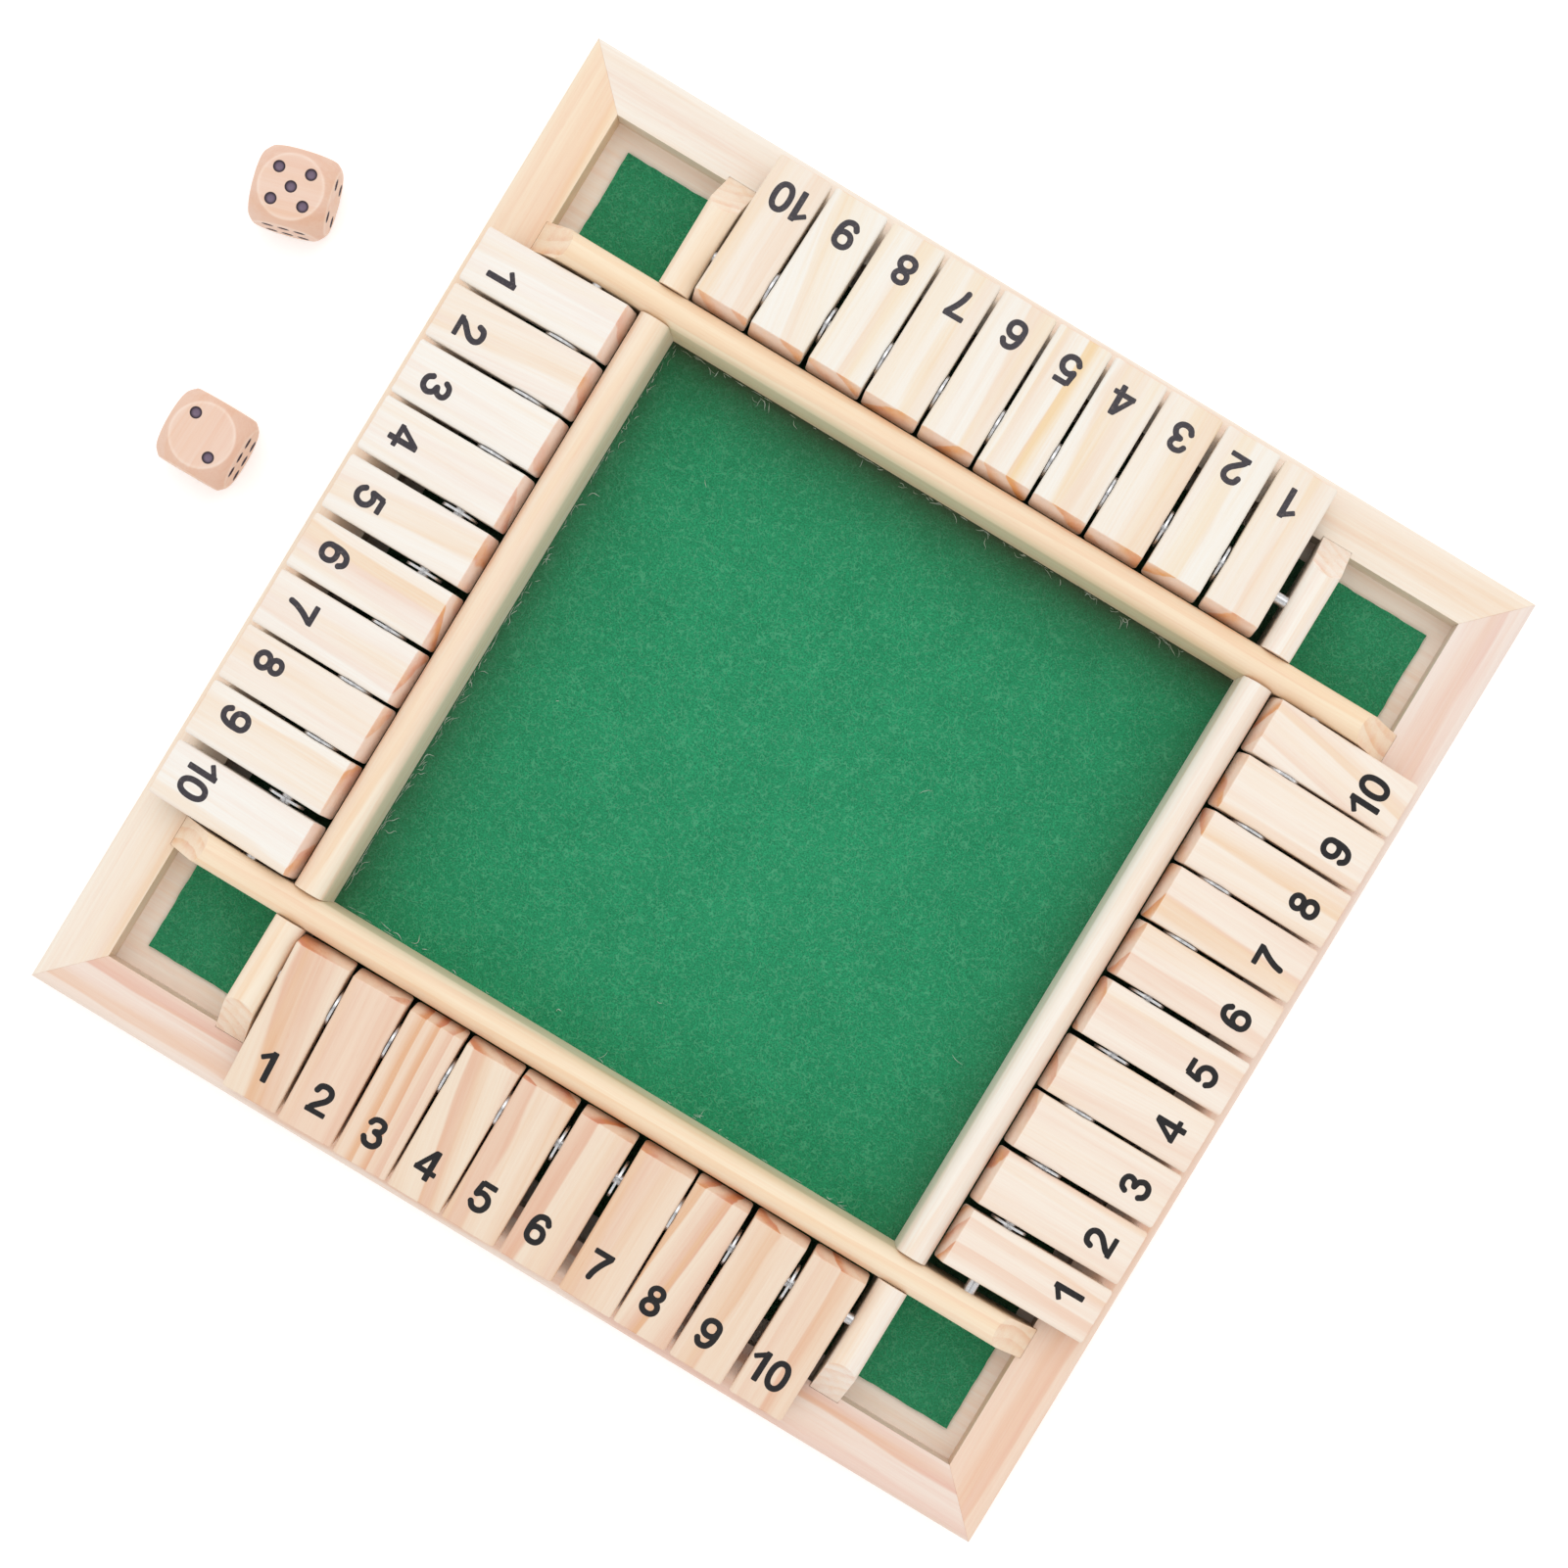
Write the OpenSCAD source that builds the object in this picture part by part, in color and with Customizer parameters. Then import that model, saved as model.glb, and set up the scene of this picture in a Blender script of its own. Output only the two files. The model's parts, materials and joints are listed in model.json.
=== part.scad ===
// Shut the box game for four players. A mitred frame holds a plywood base that is covered
// with one sheet of felt. A grid of four half-lapped, round-topped rails stands on the felt
// and makes the tray, four corner pockets and four wells. Each well has a steel rod between
// two rails, and ten numbered flaps swing on it with a thin washer between each pair.
// +X runs to the east side, +Y to the north side, and the table is at height zero.
// A flap with the number 1 stands at each player's left hand, and the 10 at the right.

/* [Frame and base] */
// Width of each mitred frame member, seen from above
frame_w = 11.5; // [9:0.5:14]
// Height of the frame above the table
frame_h = 12; // [10:0.5:16]
// Radius along the upper outer edge of the frame
frame_round = 2; // [0.5:0.1:2.5]
// Thickness of the plywood base
base_t = 3; // [2:0.5:4]
// Width of the ledge in the frame's underside that holds the base
ledge_w = 5; // [3:0.5:7]
// Thickness of the felt
felt_t = 1; // [0.5:0.1:1.5]
// Bare plywood between the felt and the frame
felt_margin = 4; // [1:0.5:8]

/* [Rails] */
// Thickness of each rail
rail_w = 6.6; // [5.5:0.1:8]
// Height of the rail's crown above the centre of the rods
rail_cover = 4.3; // [3.5:0.1:6]
// Slope of the cut at each end of a rail, in degrees from level
rail_cut = 60; // [45:1:75]
// Depth of the housing in the frame that takes a rail's end
housing_depth = 1; // [0.5:0.1:2]

/* [Flaps] */
// Width of each flap, along its rod
flap_w = 12.1; // [10:0.1:14]
// Length of each flap
flap_l = 33.7; // [30:0.1:38]
// Thickness of each flap
flap_t = 8; // [6:0.1:9]
// Distance from the rod to the end of the flap beside the rail
flap_heel = 9; // [7:0.1:10]
// Radius of the flap's eased edges
flap_round = 0.7; // [0.3:0.1:1]
// Slope of a resting flap, down towards its player, in degrees
flap_slope = 14.5; // [11:0.5:17]
// Free play of a whole row of flaps along its rod
row_play = 7.05; // [5:0.05:9]

/* [Rods and washers] */
// Diameter of each steel rod
rod_d = 2.5; // [2:0.1:3]
// Length of rod that sits in each rail
rod_seat = 4; // [2.5:0.1:5]
// Outside diameter of each washer
washer_d = 8; // [6:0.1:9]
// Diameter of each washer's hole
washer_hole_d = 3; // [2.8:0.1:3.4]
// Thickness of each washer
washer_t = 0.5; // [0.3:0.1:0.8]

/* [Dice] */
// Length of each side of a die
die_size = 16; // [14:0.5:18]
// Diameter of the ball that rounds a die's corners and edges
die_ball_d = 20.8; // [19.8:0.1:22]
// Diameter of each pip
pip_d = 2.5; // [1.5:0.1:3]
// Depth of each pip
pip_depth = 0.6; // [0.3:0.1:0.9]
// Distance from a face's centre line to its outer row of pips
pip_step = 3.3; // [3:0.1:3.8]

/* [Hidden] */
$fn = 48;
SIDES = ["south", "east", "north", "west"];
TURNS = [0, 90, 180, 270];

// Shares of the row's play that lie left of each flap and right of the last one,
// as the flaps of each side have slid along their rods
south_gap_shares = [4, 4, 4, 3, 1, 9, 11, 1, 7, 11, 16];
east_gap_shares = [25, 9, 5, 2, 6, 6, 3, 2, 3, 1, 4];
north_gap_shares = [27, 7, 7, 3, 3, 3, 4, 3, 8, 3, 6];
west_gap_shares = [7, 4, 4, 4, 10, 10, 4, 2, 3, 12, 6];
gap_shares = [south_gap_shares, east_gap_shares, north_gap_shares, west_gap_shares];
flap_count = len(south_gap_shares) - 1;

// Distance of each loose die from the board's west edge, and along it from the middle
five_die_out = 36.3;
five_die_along = 52;
two_die_out = 25.8;
two_die_along = 0.4;
// Turn of each die about the vertical, in degrees
five_die_turn = 15.7;
two_die_turn = 0.9;

// Clearances: flap on rod, rod in rail, rail in housing or lap, base in its ledge
bore_gap = 0.1;
rod_gap = 0.05;
joint_gap = 0.05;
base_gap = 0.1;
// Gap under a resting flap, and between its turning heel and the rail
rest_gap = 0.05;
heel_gap = 0.45;
// Gap between a hanging washer and the top of its rod
hang_gap = 0.02;
// Frame that shows beyond the flaps' outer ends
toe_margin = 2.28;
// Length by which a cutting shape passes the surface that it cuts
overrun = 1;

// The flap's cross-section about its rod, seen from the side
flap_toe = flap_l - flap_heel;
half_t = flap_t / 2;
heel_reach = norm([flap_heel - flap_round, half_t - flap_round]) + flap_round;
toe_drop = (flap_toe - flap_round) * sin(flap_slope)
    + (half_t - flap_round) * cos(flap_slope) + flap_round;
toe_reach = (flap_toe - flap_round) * cos(flap_slope)
    + (half_t - flap_round) * sin(flap_slope) + flap_round;

// Lines of the plan, each measured from the board's centre
row_l = flap_count * flap_w + (flap_count - 1) * washer_t + row_play;
rail_in = row_l / 2;
rail_line = rail_in + rail_w / 2;
rail_out = rail_in + rail_w;
rod_line = rail_out + heel_gap + heel_reach;
board_half = rod_line + toe_reach + toe_margin;
frame_in = board_half - frame_w;
felt_half = frame_in - felt_margin;
rail_end = frame_in + housing_depth;

// Heights above the table
rail_z = base_t + felt_t;
rod_z = frame_h + rest_gap + toe_drop;
crown_z = rod_z + rail_cover;
lap_z = (rail_z + crown_z) / 2;

// Pips of a die's face as steps from its centre, and the turn that brings +Z to each face
PIPS = [
    [[0, 0]],
    [[-1, -1], [1, 1]],
    [[-1, 1], [0, 0], [1, -1]],
    [[-1, -1], [-1, 1], [1, -1], [1, 1]],
    [[-1, -1], [-1, 1], [0, 0], [1, -1], [1, 1]],
    [[-1, -1], [0, -1], [1, -1], [-1, 1], [0, 1], [1, 1]]
];
PIP_TURNS = [[-90, 0, 0], [180, 0, 0], [0, -90, 0], [0, 90, 0], [0, 0, 0], [90, 0, 0]];

function flap_name(side, number) = str("flap_", side, "_", number);
function total(shares, count) = count == 0 ? 0 : shares[count - 1] + total(shares, count - 1);
function play_before(side, count) =
    row_play * total(gap_shares[side], count) / total(gap_shares[side], flap_count + 1);
function flap_x(side, index) =
    play_before(side, index + 1) + index * (flap_w + washer_t) + flap_w / 2 - rail_in;
function washer_x(side, index) =
    (flap_x(side, index) + flap_x(side, index + 1)) / 2;

// Rectangle with round corners, centred
module rounded_rectangle(w, h, r) {
    square([w - 2 * r, h], center = true);
    square([w, h - 2 * r], center = true);
    for (x = [-1, 1], y = [-1, 1])
        translate([x * (w / 2 - r), y * (h / 2 - r)]) circle(r);
}

// Bar with every edge eased, centred, as the meeting of its three outlines
module eased_bar(size, r) {
    intersection() {
        linear_extrude(size.z, center = true) rounded_rectangle(size.x, size.y, r);
        rotate([90, 0, 0]) linear_extrude(size.y, center = true)
            rounded_rectangle(size.x, size.z, r);
        rotate([90, 0, 90]) linear_extrude(size.x, center = true)
            rounded_rectangle(size.y, size.z, r);
    }
}

// Carries a Y-Z outline along the X axis, the same distance to each side
module along_x(half_length) {
    rotate([90, 0, 90]) linear_extrude(2 * half_length, center = true) children();
}

// Plywood panel in the frame's underside
module base_board() {
    side = 2 * (frame_in + ledge_w - base_gap);
    color("burlywood") translate([-side / 2, -side / 2, 0]) cube([side, side, base_t]);
}

// One sheet of felt under the whole grid of rails
module felt_sheet() {
    color("seagreen") translate([-felt_half, -felt_half, base_t])
        cube([2 * felt_half, 2 * felt_half, felt_t]);
}

// Section of a frame member, from its inner face at zero to its outer face
module frame_section() {
    difference() {
        union() {
            square([frame_w, frame_h - frame_round]);
            square([frame_w - frame_round, frame_h]);
            translate([frame_w - frame_round, frame_h - frame_round]) circle(frame_round);
        }
        translate([-overrun, -overrun]) square([ledge_w + overrun, base_t + overrun]);
    }
}

// South member: its section along the side, mitred, with a housing for each rail's end
module frame_member() {
    housing_w = rail_w + 2 * joint_gap;
    color("bisque") difference() {
        intersection() {
            translate([0, -frame_in, 0]) along_x(board_half)
                mirror([1, 0]) frame_section();
            translate([0, 0, -overrun]) linear_extrude(frame_h + 2 * overrun)
                polygon([[0, 0], [-board_half, -board_half], [board_half, -board_half]]);
        }
        for (x = [-rail_line, rail_line])
            translate([x - housing_w / 2, -rail_end - joint_gap, base_t])
                cube([housing_w, housing_depth + joint_gap + overrun, frame_h]);
    }
}

// Section of a rail: straight sides under a half-round crown
module rail_section() {
    translate([-rail_w / 2, rail_z]) square([rail_w, crown_z - rail_w / 2 - rail_z]);
    translate([0, crown_z - rail_w / 2]) circle(rail_w / 2);
}

// Shape that cuts one end of a rail, from the frame's top up and back over the crown
module rail_end_cut() {
    rise = crown_z - frame_h + overrun;
    rotate([90, 0, 0]) linear_extrude(rail_w + 2 * overrun, center = true)
        polygon([
            [rail_end, frame_h],
            [rail_end - rise / tan(rail_cut), frame_h + rise],
            [rail_end + overrun, frame_h + rise],
            [rail_end + overrun, frame_h]
        ]);
}

// South rail, with its lap notches above or below, and blind holes for the rods' ends
module rail(notch_above) {
    notch_w = rail_w + 2 * joint_gap;
    notch_z = notch_above ? lap_z : rail_z - overrun;
    notch_h = (crown_z - rail_z) / 2 + overrun;
    color(notch_above ? "wheat" : "moccasin") translate([0, -rail_line, 0]) difference() {
        along_x(rail_end) rail_section();
        for (end = [0, 1]) mirror([end, 0, 0]) {
            rail_end_cut();
            translate([rail_line - notch_w / 2, -rail_w / 2 - overrun, notch_z])
                cube([notch_w, rail_w + 2 * overrun, notch_h]);
            translate([rod_line, rail_w / 2 - rod_seat, rod_z]) rotate([-90, 0, 0])
                cylinder(h = rod_seat + overrun, r = rod_d / 2 + rod_gap);
        }
    }
}

// South rod, a little short of the bottoms of its two holes
module rod() {
    half_length = rail_in + rod_seat - joint_gap;
    color("silver") translate([-half_length, -rod_line, rod_z]) rotate([0, 90, 0])
        cylinder(h = 2 * half_length, r = rod_d / 2);
}

// One washer between each pair of flaps, hanging on the rod by the top of its hole
module spacer_washers() {
    hang = (washer_hole_d - rod_d) / 2 - hang_gap;
    color("gainsboro") for (side = [0 : len(SIDES) - 1], index = [0 : flap_count - 2])
        rotate([0, 0, TURNS[side]])
            translate([washer_x(side, index) - washer_t / 2, -rod_line, rod_z - hang])
                rotate([0, 90, 0]) difference() {
                    cylinder(h = washer_t, r = washer_d / 2);
                    translate([0, 0, -overrun])
                        cylinder(h = washer_t + 2 * overrun, r = washer_hole_d / 2);
                }
}

// Flap at rest, turned to its side of the board: its toe lies on the frame
module flap(side, index) {
    color("blanchedalmond") rotate([0, 0, TURNS[side]])
        translate([flap_x(side, index), -rod_line, rod_z]) rotate([flap_slope, 0, 0])
            difference() {
                translate([0, (flap_heel - flap_toe) / 2, 0])
                    eased_bar([flap_w, flap_l, flap_t], flap_round);
                rotate([0, 90, 0])
                    cylinder(h = flap_w + 2 * overrun, r = rod_d / 2 + bore_gap, center = true);
            }
}

// Die with its centre at the origin and five pips on top, six to the front, four to the right
module die() {
    pip_ball_r = (pip_d * pip_d / 4 + pip_depth * pip_depth) / (2 * pip_depth);
    difference() {
        intersection() {
            cube(die_size, center = true);
            sphere(d = die_ball_d);
        }
        for (face = [0 : len(PIPS) - 1], pip = PIPS[face])
            rotate(PIP_TURNS[face])
                translate([
                    pip.x * pip_step, pip.y * pip_step, die_size / 2 - pip_depth + pip_ball_r
                ])
                    sphere(pip_ball_r);
    }
}

// Loose die that shows its five
module die_five_up() {
    color("tan")
        translate([-board_half - five_die_out, five_die_along, die_size / 2])
            rotate([0, 0, five_die_turn]) die();
}

// Loose die that shows its two, with its six to the right
module die_two_up() {
    color("tan")
        translate([-board_half - two_die_out, two_die_along, die_size / 2])
            rotate([0, 0, two_die_turn]) rotate([0, 180, 90]) die();
}

base_board();
felt_sheet();
for (side = [0 : len(SIDES) - 1]) {
    rotate([0, 0, TURNS[side]]) frame_member();
    rotate([0, 0, TURNS[side]]) rail(side % 2 == 1);
    rotate([0, 0, TURNS[side]]) rod();
}
spacer_washers();
die_five_up();
die_two_up();
for (side = [0 : len(SIDES) - 1], index = [0 : flap_count - 1])
    flap(side, index);
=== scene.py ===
"""Looks of a shut the box game for four players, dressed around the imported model.

Shapes are worked out in millimetres and become metres when a mesh is made. The south side lies
at -Y, and east, north and west follow it anticlockwise as seen from above. A side's own
coordinates are those of the south side: x to its player's right, y towards the middle, z up.
"""

import json
import logging
import math
from dataclasses import dataclass, field
from enum import Enum
from functools import cache

import bmesh
import bpy
import numpy as np
from mathutils import Matrix, Vector


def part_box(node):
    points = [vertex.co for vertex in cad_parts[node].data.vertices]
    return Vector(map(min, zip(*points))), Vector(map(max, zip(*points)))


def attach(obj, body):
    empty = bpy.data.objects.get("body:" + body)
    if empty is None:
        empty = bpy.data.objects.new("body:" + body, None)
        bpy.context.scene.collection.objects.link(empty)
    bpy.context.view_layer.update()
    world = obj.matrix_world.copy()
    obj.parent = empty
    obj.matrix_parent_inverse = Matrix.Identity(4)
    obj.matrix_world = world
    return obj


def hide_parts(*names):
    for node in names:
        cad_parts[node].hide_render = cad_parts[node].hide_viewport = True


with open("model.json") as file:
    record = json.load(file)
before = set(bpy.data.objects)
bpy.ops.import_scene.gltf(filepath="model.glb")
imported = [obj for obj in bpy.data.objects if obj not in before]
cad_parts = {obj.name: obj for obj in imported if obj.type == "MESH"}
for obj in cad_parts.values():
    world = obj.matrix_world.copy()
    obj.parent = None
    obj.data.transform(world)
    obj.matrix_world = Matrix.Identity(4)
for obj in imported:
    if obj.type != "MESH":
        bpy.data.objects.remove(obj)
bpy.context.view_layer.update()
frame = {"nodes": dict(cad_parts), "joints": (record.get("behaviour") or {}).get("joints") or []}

LOG = logging.getLogger("shut_the_box")
MM = 0.001
WHITE = (1.0, 1.0, 1.0, 1.0)
# Number of the growth ring that a cut places, and the share of a ring at which its dark part ends
MAIN_RING = 9
RING_EDGE = 0.96
# Least cosine between the fibres and the normal of a sawn end, mitres included
SAWN_END = 0.7


class Side(Enum):
    """The four players' sides, with the quarter turns that bring the south side to each."""

    SOUTH = 0
    EAST = 1
    NORTH = 2
    WEST = 3

    @property
    def label(self) -> str:
        """The side's name as the nodes spell it."""
        return self.name.lower()

    def turn(self, points: np.ndarray, back: bool = False) -> np.ndarray:
        """Turns points of the south side about the vertical to this side.

        Args:
            points: Places, one row each.
            back: Turns from this side to the south side instead.

        Returns:
            The turned places: x' = x cos - y sin and y' = x sin + y cos.
        """
        angle = self.value * math.pi / 2 * (-1 if back else 1)
        cos, sin = round(math.cos(angle)), round(math.sin(angle))
        return points @ np.array([[cos, sin, 0], [-sin, cos, 0], [0, 0, 1]], float)


def node_box(node: str) -> tuple[np.ndarray, np.ndarray]:
    """The lowest and highest corners of a CAD node, in millimetres."""
    low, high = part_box(node)
    return np.array(low) / MM, np.array(high) / MM


def outward(points: np.ndarray, faces: np.ndarray) -> np.ndarray:
    """Turns the faces of a closed shape to point outwards.

    Args:
        points: Places, one row each.
        faces: Four point numbers a row.

    Returns:
        The faces, each reversed where the signed volume, a sixth of the sum of
        a . (b x c) over their triangles, comes out below zero.
    """
    a, b, c, d = (points[faces[:, k]] for k in range(4))
    volume = (a * np.cross(b, c)).sum() + (a * np.cross(c, d)).sum()
    return faces if volume > 0 else faces[:, ::-1]


def grid_faces(rows: int, columns: int, wrap_rows: bool, wrap_columns: bool) -> np.ndarray:
    """Numbers the corners of a grid's quads.

    Args:
        rows: Points along the first parameter.
        columns: Points along the second parameter.
        wrap_rows: Joins the last row to the first.
        wrap_columns: Joins the last column to the first.

    Returns:
        Four point numbers a row, for points stored row by row.
    """
    row = np.arange(rows if wrap_rows else rows - 1)[:, None]
    column = np.arange(columns if wrap_columns else columns - 1)[None, :]
    next_row, next_column = (row + 1) % rows, (column + 1) % columns
    corners = [row * columns + column, row * columns + next_column,
               next_row * columns + next_column, next_row * columns + column]
    return np.stack([c.ravel() for c in corners], axis=1)


def merge_points(points: np.ndarray, faces: np.ndarray) -> tuple[np.ndarray, np.ndarray]:
    """Joins points that lie within a thousandth of a millimetre of each other.

    Args:
        points: Places in millimetres, one row each.
        faces: Point numbers, one row for each face.

    Returns:
        The points that stay, and the faces with their new numbers.
    """
    _, first, inverse = np.unique(np.round(points, 3), axis=0, return_index=True,
                                  return_inverse=True)
    return points[first], inverse.reshape(-1)[faces]


def add_object(name: str, data: bpy.types.ID) -> bpy.types.Object:
    """Makes an object at the origin.

    Args:
        name: Name of the object.
        data: Its mesh, camera or lamp.

    Returns:
        The new object, linked to the scene.
    """
    thing = bpy.data.objects.new(name, data)
    bpy.context.scene.collection.objects.link(thing)
    return thing


def add_mesh(name: str, mesh: bpy.types.Mesh, smooth_angle: float) -> bpy.types.Object:
    """Makes a mesh object that is shaded smooth.

    Args:
        name: Name of the object.
        mesh: Its mesh.
        smooth_angle: Edges that turn by more than this many degrees stay sharp.

    Returns:
        The new object, at the origin and linked to the scene.
    """
    mesh.shade_smooth()
    mesh.set_sharp_from_angle(angle=math.radians(smooth_angle))
    return add_object(name, mesh)


def make_piece(name: str, points: np.ndarray, faces: np.ndarray | list,
               smooth_angle: float = 35.0) -> bpy.types.Object:
    """Makes a mesh object at the origin.

    Args:
        name: Name of the piece.
        points: Places in millimetres, one row each.
        faces: Point numbers of each face.
        smooth_angle: Edges that turn by more than this many degrees stay sharp.

    Returns:
        The new object, linked to the scene.
    """
    mesh = bpy.data.meshes.new(name)
    mesh.from_pydata((np.asarray(points) * MM).tolist(), [], [list(map(int, f)) for f in faces])
    mesh.update()
    return add_mesh(name, mesh, smooth_angle)


def store(piece: bpy.types.Object, name: str, values: np.ndarray, domain: str = "POINT") -> None:
    """Keeps numbers or vectors on a mesh for its material to read.

    Args:
        piece: Mesh object.
        name: Name of the attribute.
        values: One number or one row of three for each point or face.
        domain: POINT or FACE.
    """
    kind, part = ("FLOAT", "value") if values.ndim == 1 else ("FLOAT_VECTOR", "vector")
    attribute = piece.data.attributes.new(name, kind, domain)
    attribute.data.foreach_set(part, values.astype(np.float32).ravel())


def vectors_of(elements: bpy.types.bpy_prop_collection, name: str) -> np.ndarray:
    """Reads one vector of every point or face of a mesh.

    Args:
        elements: The mesh's vertices or polygons.
        name: Name of the vector.

    Returns:
        The vectors, one row each.
    """
    flat = np.zeros(len(elements) * 3)
    elements.foreach_get(name, flat)
    return flat.reshape(-1, 3)


def points_of(piece: bpy.types.Object) -> np.ndarray:
    """The places of a mesh's points, in millimetres."""
    return vectors_of(piece.data.vertices, "co") / MM


def smooth_noise(rows: int, columns: int, feature: float, seed: int) -> np.ndarray:
    """Soft random relief on a grid.

    Args:
        rows: Points down the grid.
        columns: Points across it.
        feature: Size of the bumps, in grid steps.
        seed: Seed of the random draw.

    Returns:
        White noise whose waves of length w are kept by exp(-(feature / w)^2), scaled to a
        standard deviation of one.
    """
    noise = np.random.default_rng(seed).standard_normal((rows, columns))
    waves = np.fft.fftfreq(rows)[:, None] ** 2 + np.fft.rfftfreq(columns)[None, :] ** 2
    soft = np.fft.irfft2(np.fft.rfft2(noise) * np.exp(-waves * feature ** 2), s=(rows, columns))
    return soft / soft.std()


Socket = bpy.types.NodeSocket
Operand = Socket | float | tuple


class Tree:
    """Short calls that add shader nodes to a tree and join them."""

    def __init__(self, tree: bpy.types.NodeTree) -> None:
        """Starts on a node tree."""
        self.tree = tree

    def feed(self, target: Socket, operand: Operand) -> None:
        """Gives an input its operand.

        Args:
            target: The input.
            operand: A socket to join to it, or a constant to set it to.
        """
        if isinstance(operand, Socket):
            self.tree.links.new(operand, target)
        else:
            target.default_value = operand

    def fill(self, node: bpy.types.Node, inputs: dict) -> None:
        """Feeds several inputs of a node, each by its name or number."""
        for key, operand in inputs.items():
            self.feed(node.inputs[key], operand)

    def node(self, kind: str, inputs: dict | None = None, **settings: object) -> bpy.types.Node:
        """Adds a node.

        Args:
            kind: Type name of the node, without ShaderNode.
            inputs: Operands by the name or number of their input.
            **settings: Properties of the node.

        Returns:
            The new node.
        """
        node = self.tree.nodes.new("ShaderNode" + kind)
        for key, value in settings.items():
            setattr(node, key, value)
        self.fill(node, inputs or {})
        return node

    def math(self, operation: str, *operands: Operand) -> Socket:
        """Works out a number."""
        return self.node("Math", dict(enumerate(operands)), operation=operation).outputs[0]

    def vector(self, operation: str, *operands: Operand) -> Socket:
        """Works out a vector, or a number where the operation gives one."""
        node = self.node("VectorMath", dict(enumerate(operands)), operation=operation)
        return node.outputs["Value" if operation in ("LENGTH", "DOT_PRODUCT") else "Vector"]

    def noise(self, place: Socket, scale: float, detail: float = 2.0,
              roughness: float = 0.5) -> Socket:
        """Soft noise about a half, at so many waves a millimetre."""
        inputs = {"Vector": place, "Scale": scale, "Detail": detail, "Roughness": roughness}
        return self.node("TexNoise", inputs).outputs[0]

    def ramp(self, value: Operand, low: float, high: float, start: float = 0.0,
             end: float = 1.0) -> Socket:
        """A smooth step from start at low to end at high."""
        inputs = {0: value, 1: low, 2: high, 3: start, 4: end}
        return self.node("MapRange", inputs, interpolation_type="SMOOTHSTEP").outputs[0]

    def mix(self, factor: Operand, first: Operand, second: Operand, blend: str = "MIX") -> Socket:
        """Mixes two colours."""
        inputs = {0: factor, 6: first, 7: second}
        return self.node("Mix", inputs, data_type="RGBA", blend_type=blend).outputs[2]

    def times(self, first: Operand, second: Operand) -> Socket:
        """One colour times another."""
        return self.mix(1.0, first, second, "MULTIPLY")

    def attribute(self, name: str) -> bpy.types.Node:
        """Reads an attribute of the mesh."""
        return self.node("Attribute", attribute_name=name)

    def millimetres(self) -> Socket:
        """The piece's own coordinates, in millimetres."""
        return self.scaled(self.node("TexCoord").outputs["Object"], 1 / MM)

    def scaled(self, place: Operand, factor: Operand) -> Socket:
        """A vector times a number."""
        inputs = {0: place, "Scale": factor}
        return self.node("VectorMath", inputs, operation="SCALE").outputs["Vector"]

    def stretched(self, place: Socket, along: float, across: float) -> Socket:
        """A log's place times one number along the fibres and another across them."""
        return self.vector("MULTIPLY", place, (along, across, across))

    def relief(self, shader: bpy.types.Node, height: Socket, depth: float,
               strength: float) -> None:
        """Gives the shader a relief of that depth, in millimetres."""
        bump = self.node("Bump", {"Height": height, "Distance": depth * MM, "Strength": strength})
        self.feed(shader.inputs["Normal"], bump.outputs[0])


def colour(red: float, green: float, blue: float) -> tuple[float, float, float, float]:
    """Turns an 8-bit sRGB colour into a linear one.

    Args:
        red: Its red, from 0 to 255.
        green: Its green.
        blue: Its blue.

    Returns:
        The linear colour, with a full alpha.
    """
    def linear(value: float) -> float:
        """Undoes the sRGB curve of one channel."""
        share = value / 255
        return share / 12.92 if share <= 0.04045 else ((share + 0.055) / 1.055) ** 2.4
    return linear(red), linear(green), linear(blue), 1.0


def new_group(name: str, inputs: dict,
              outputs: dict) -> tuple[Tree, bpy.types.Node, bpy.types.Node]:
    """Starts a shader node group.

    Args:
        name: Name of the group.
        inputs: Socket types by name.
        outputs: Socket types by name.

    Returns:
        The group's tree, its input node and its output node.
    """
    group = bpy.data.node_groups.new(name, "ShaderNodeTree")
    for sockets, direction in ((inputs, "INPUT"), (outputs, "OUTPUT")):
        for label, kind in sockets.items():
            group.interface.new_socket(label, in_out=direction, socket_type="NodeSocket" + kind)
    return Tree(group), group.nodes.new("NodeGroupInput"), group.nodes.new("NodeGroupOutput")


# Waves a millimetre along and across the fibres, detail and roughness of the wood's noises
GRAIN_NOISES = {
    "warp": (0.012, 0.07, 3.0, 0.5),
    "fibre": (0.05, 2.4, 3.0, 0.6),
    "streak": (0.015, 0.42, 3.0, 0.6),
    "hue": (0.01, 0.2, 2.0, 0.5),
    "duct": (0.28, 3.2, 1.0, 0.5),
}


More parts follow.
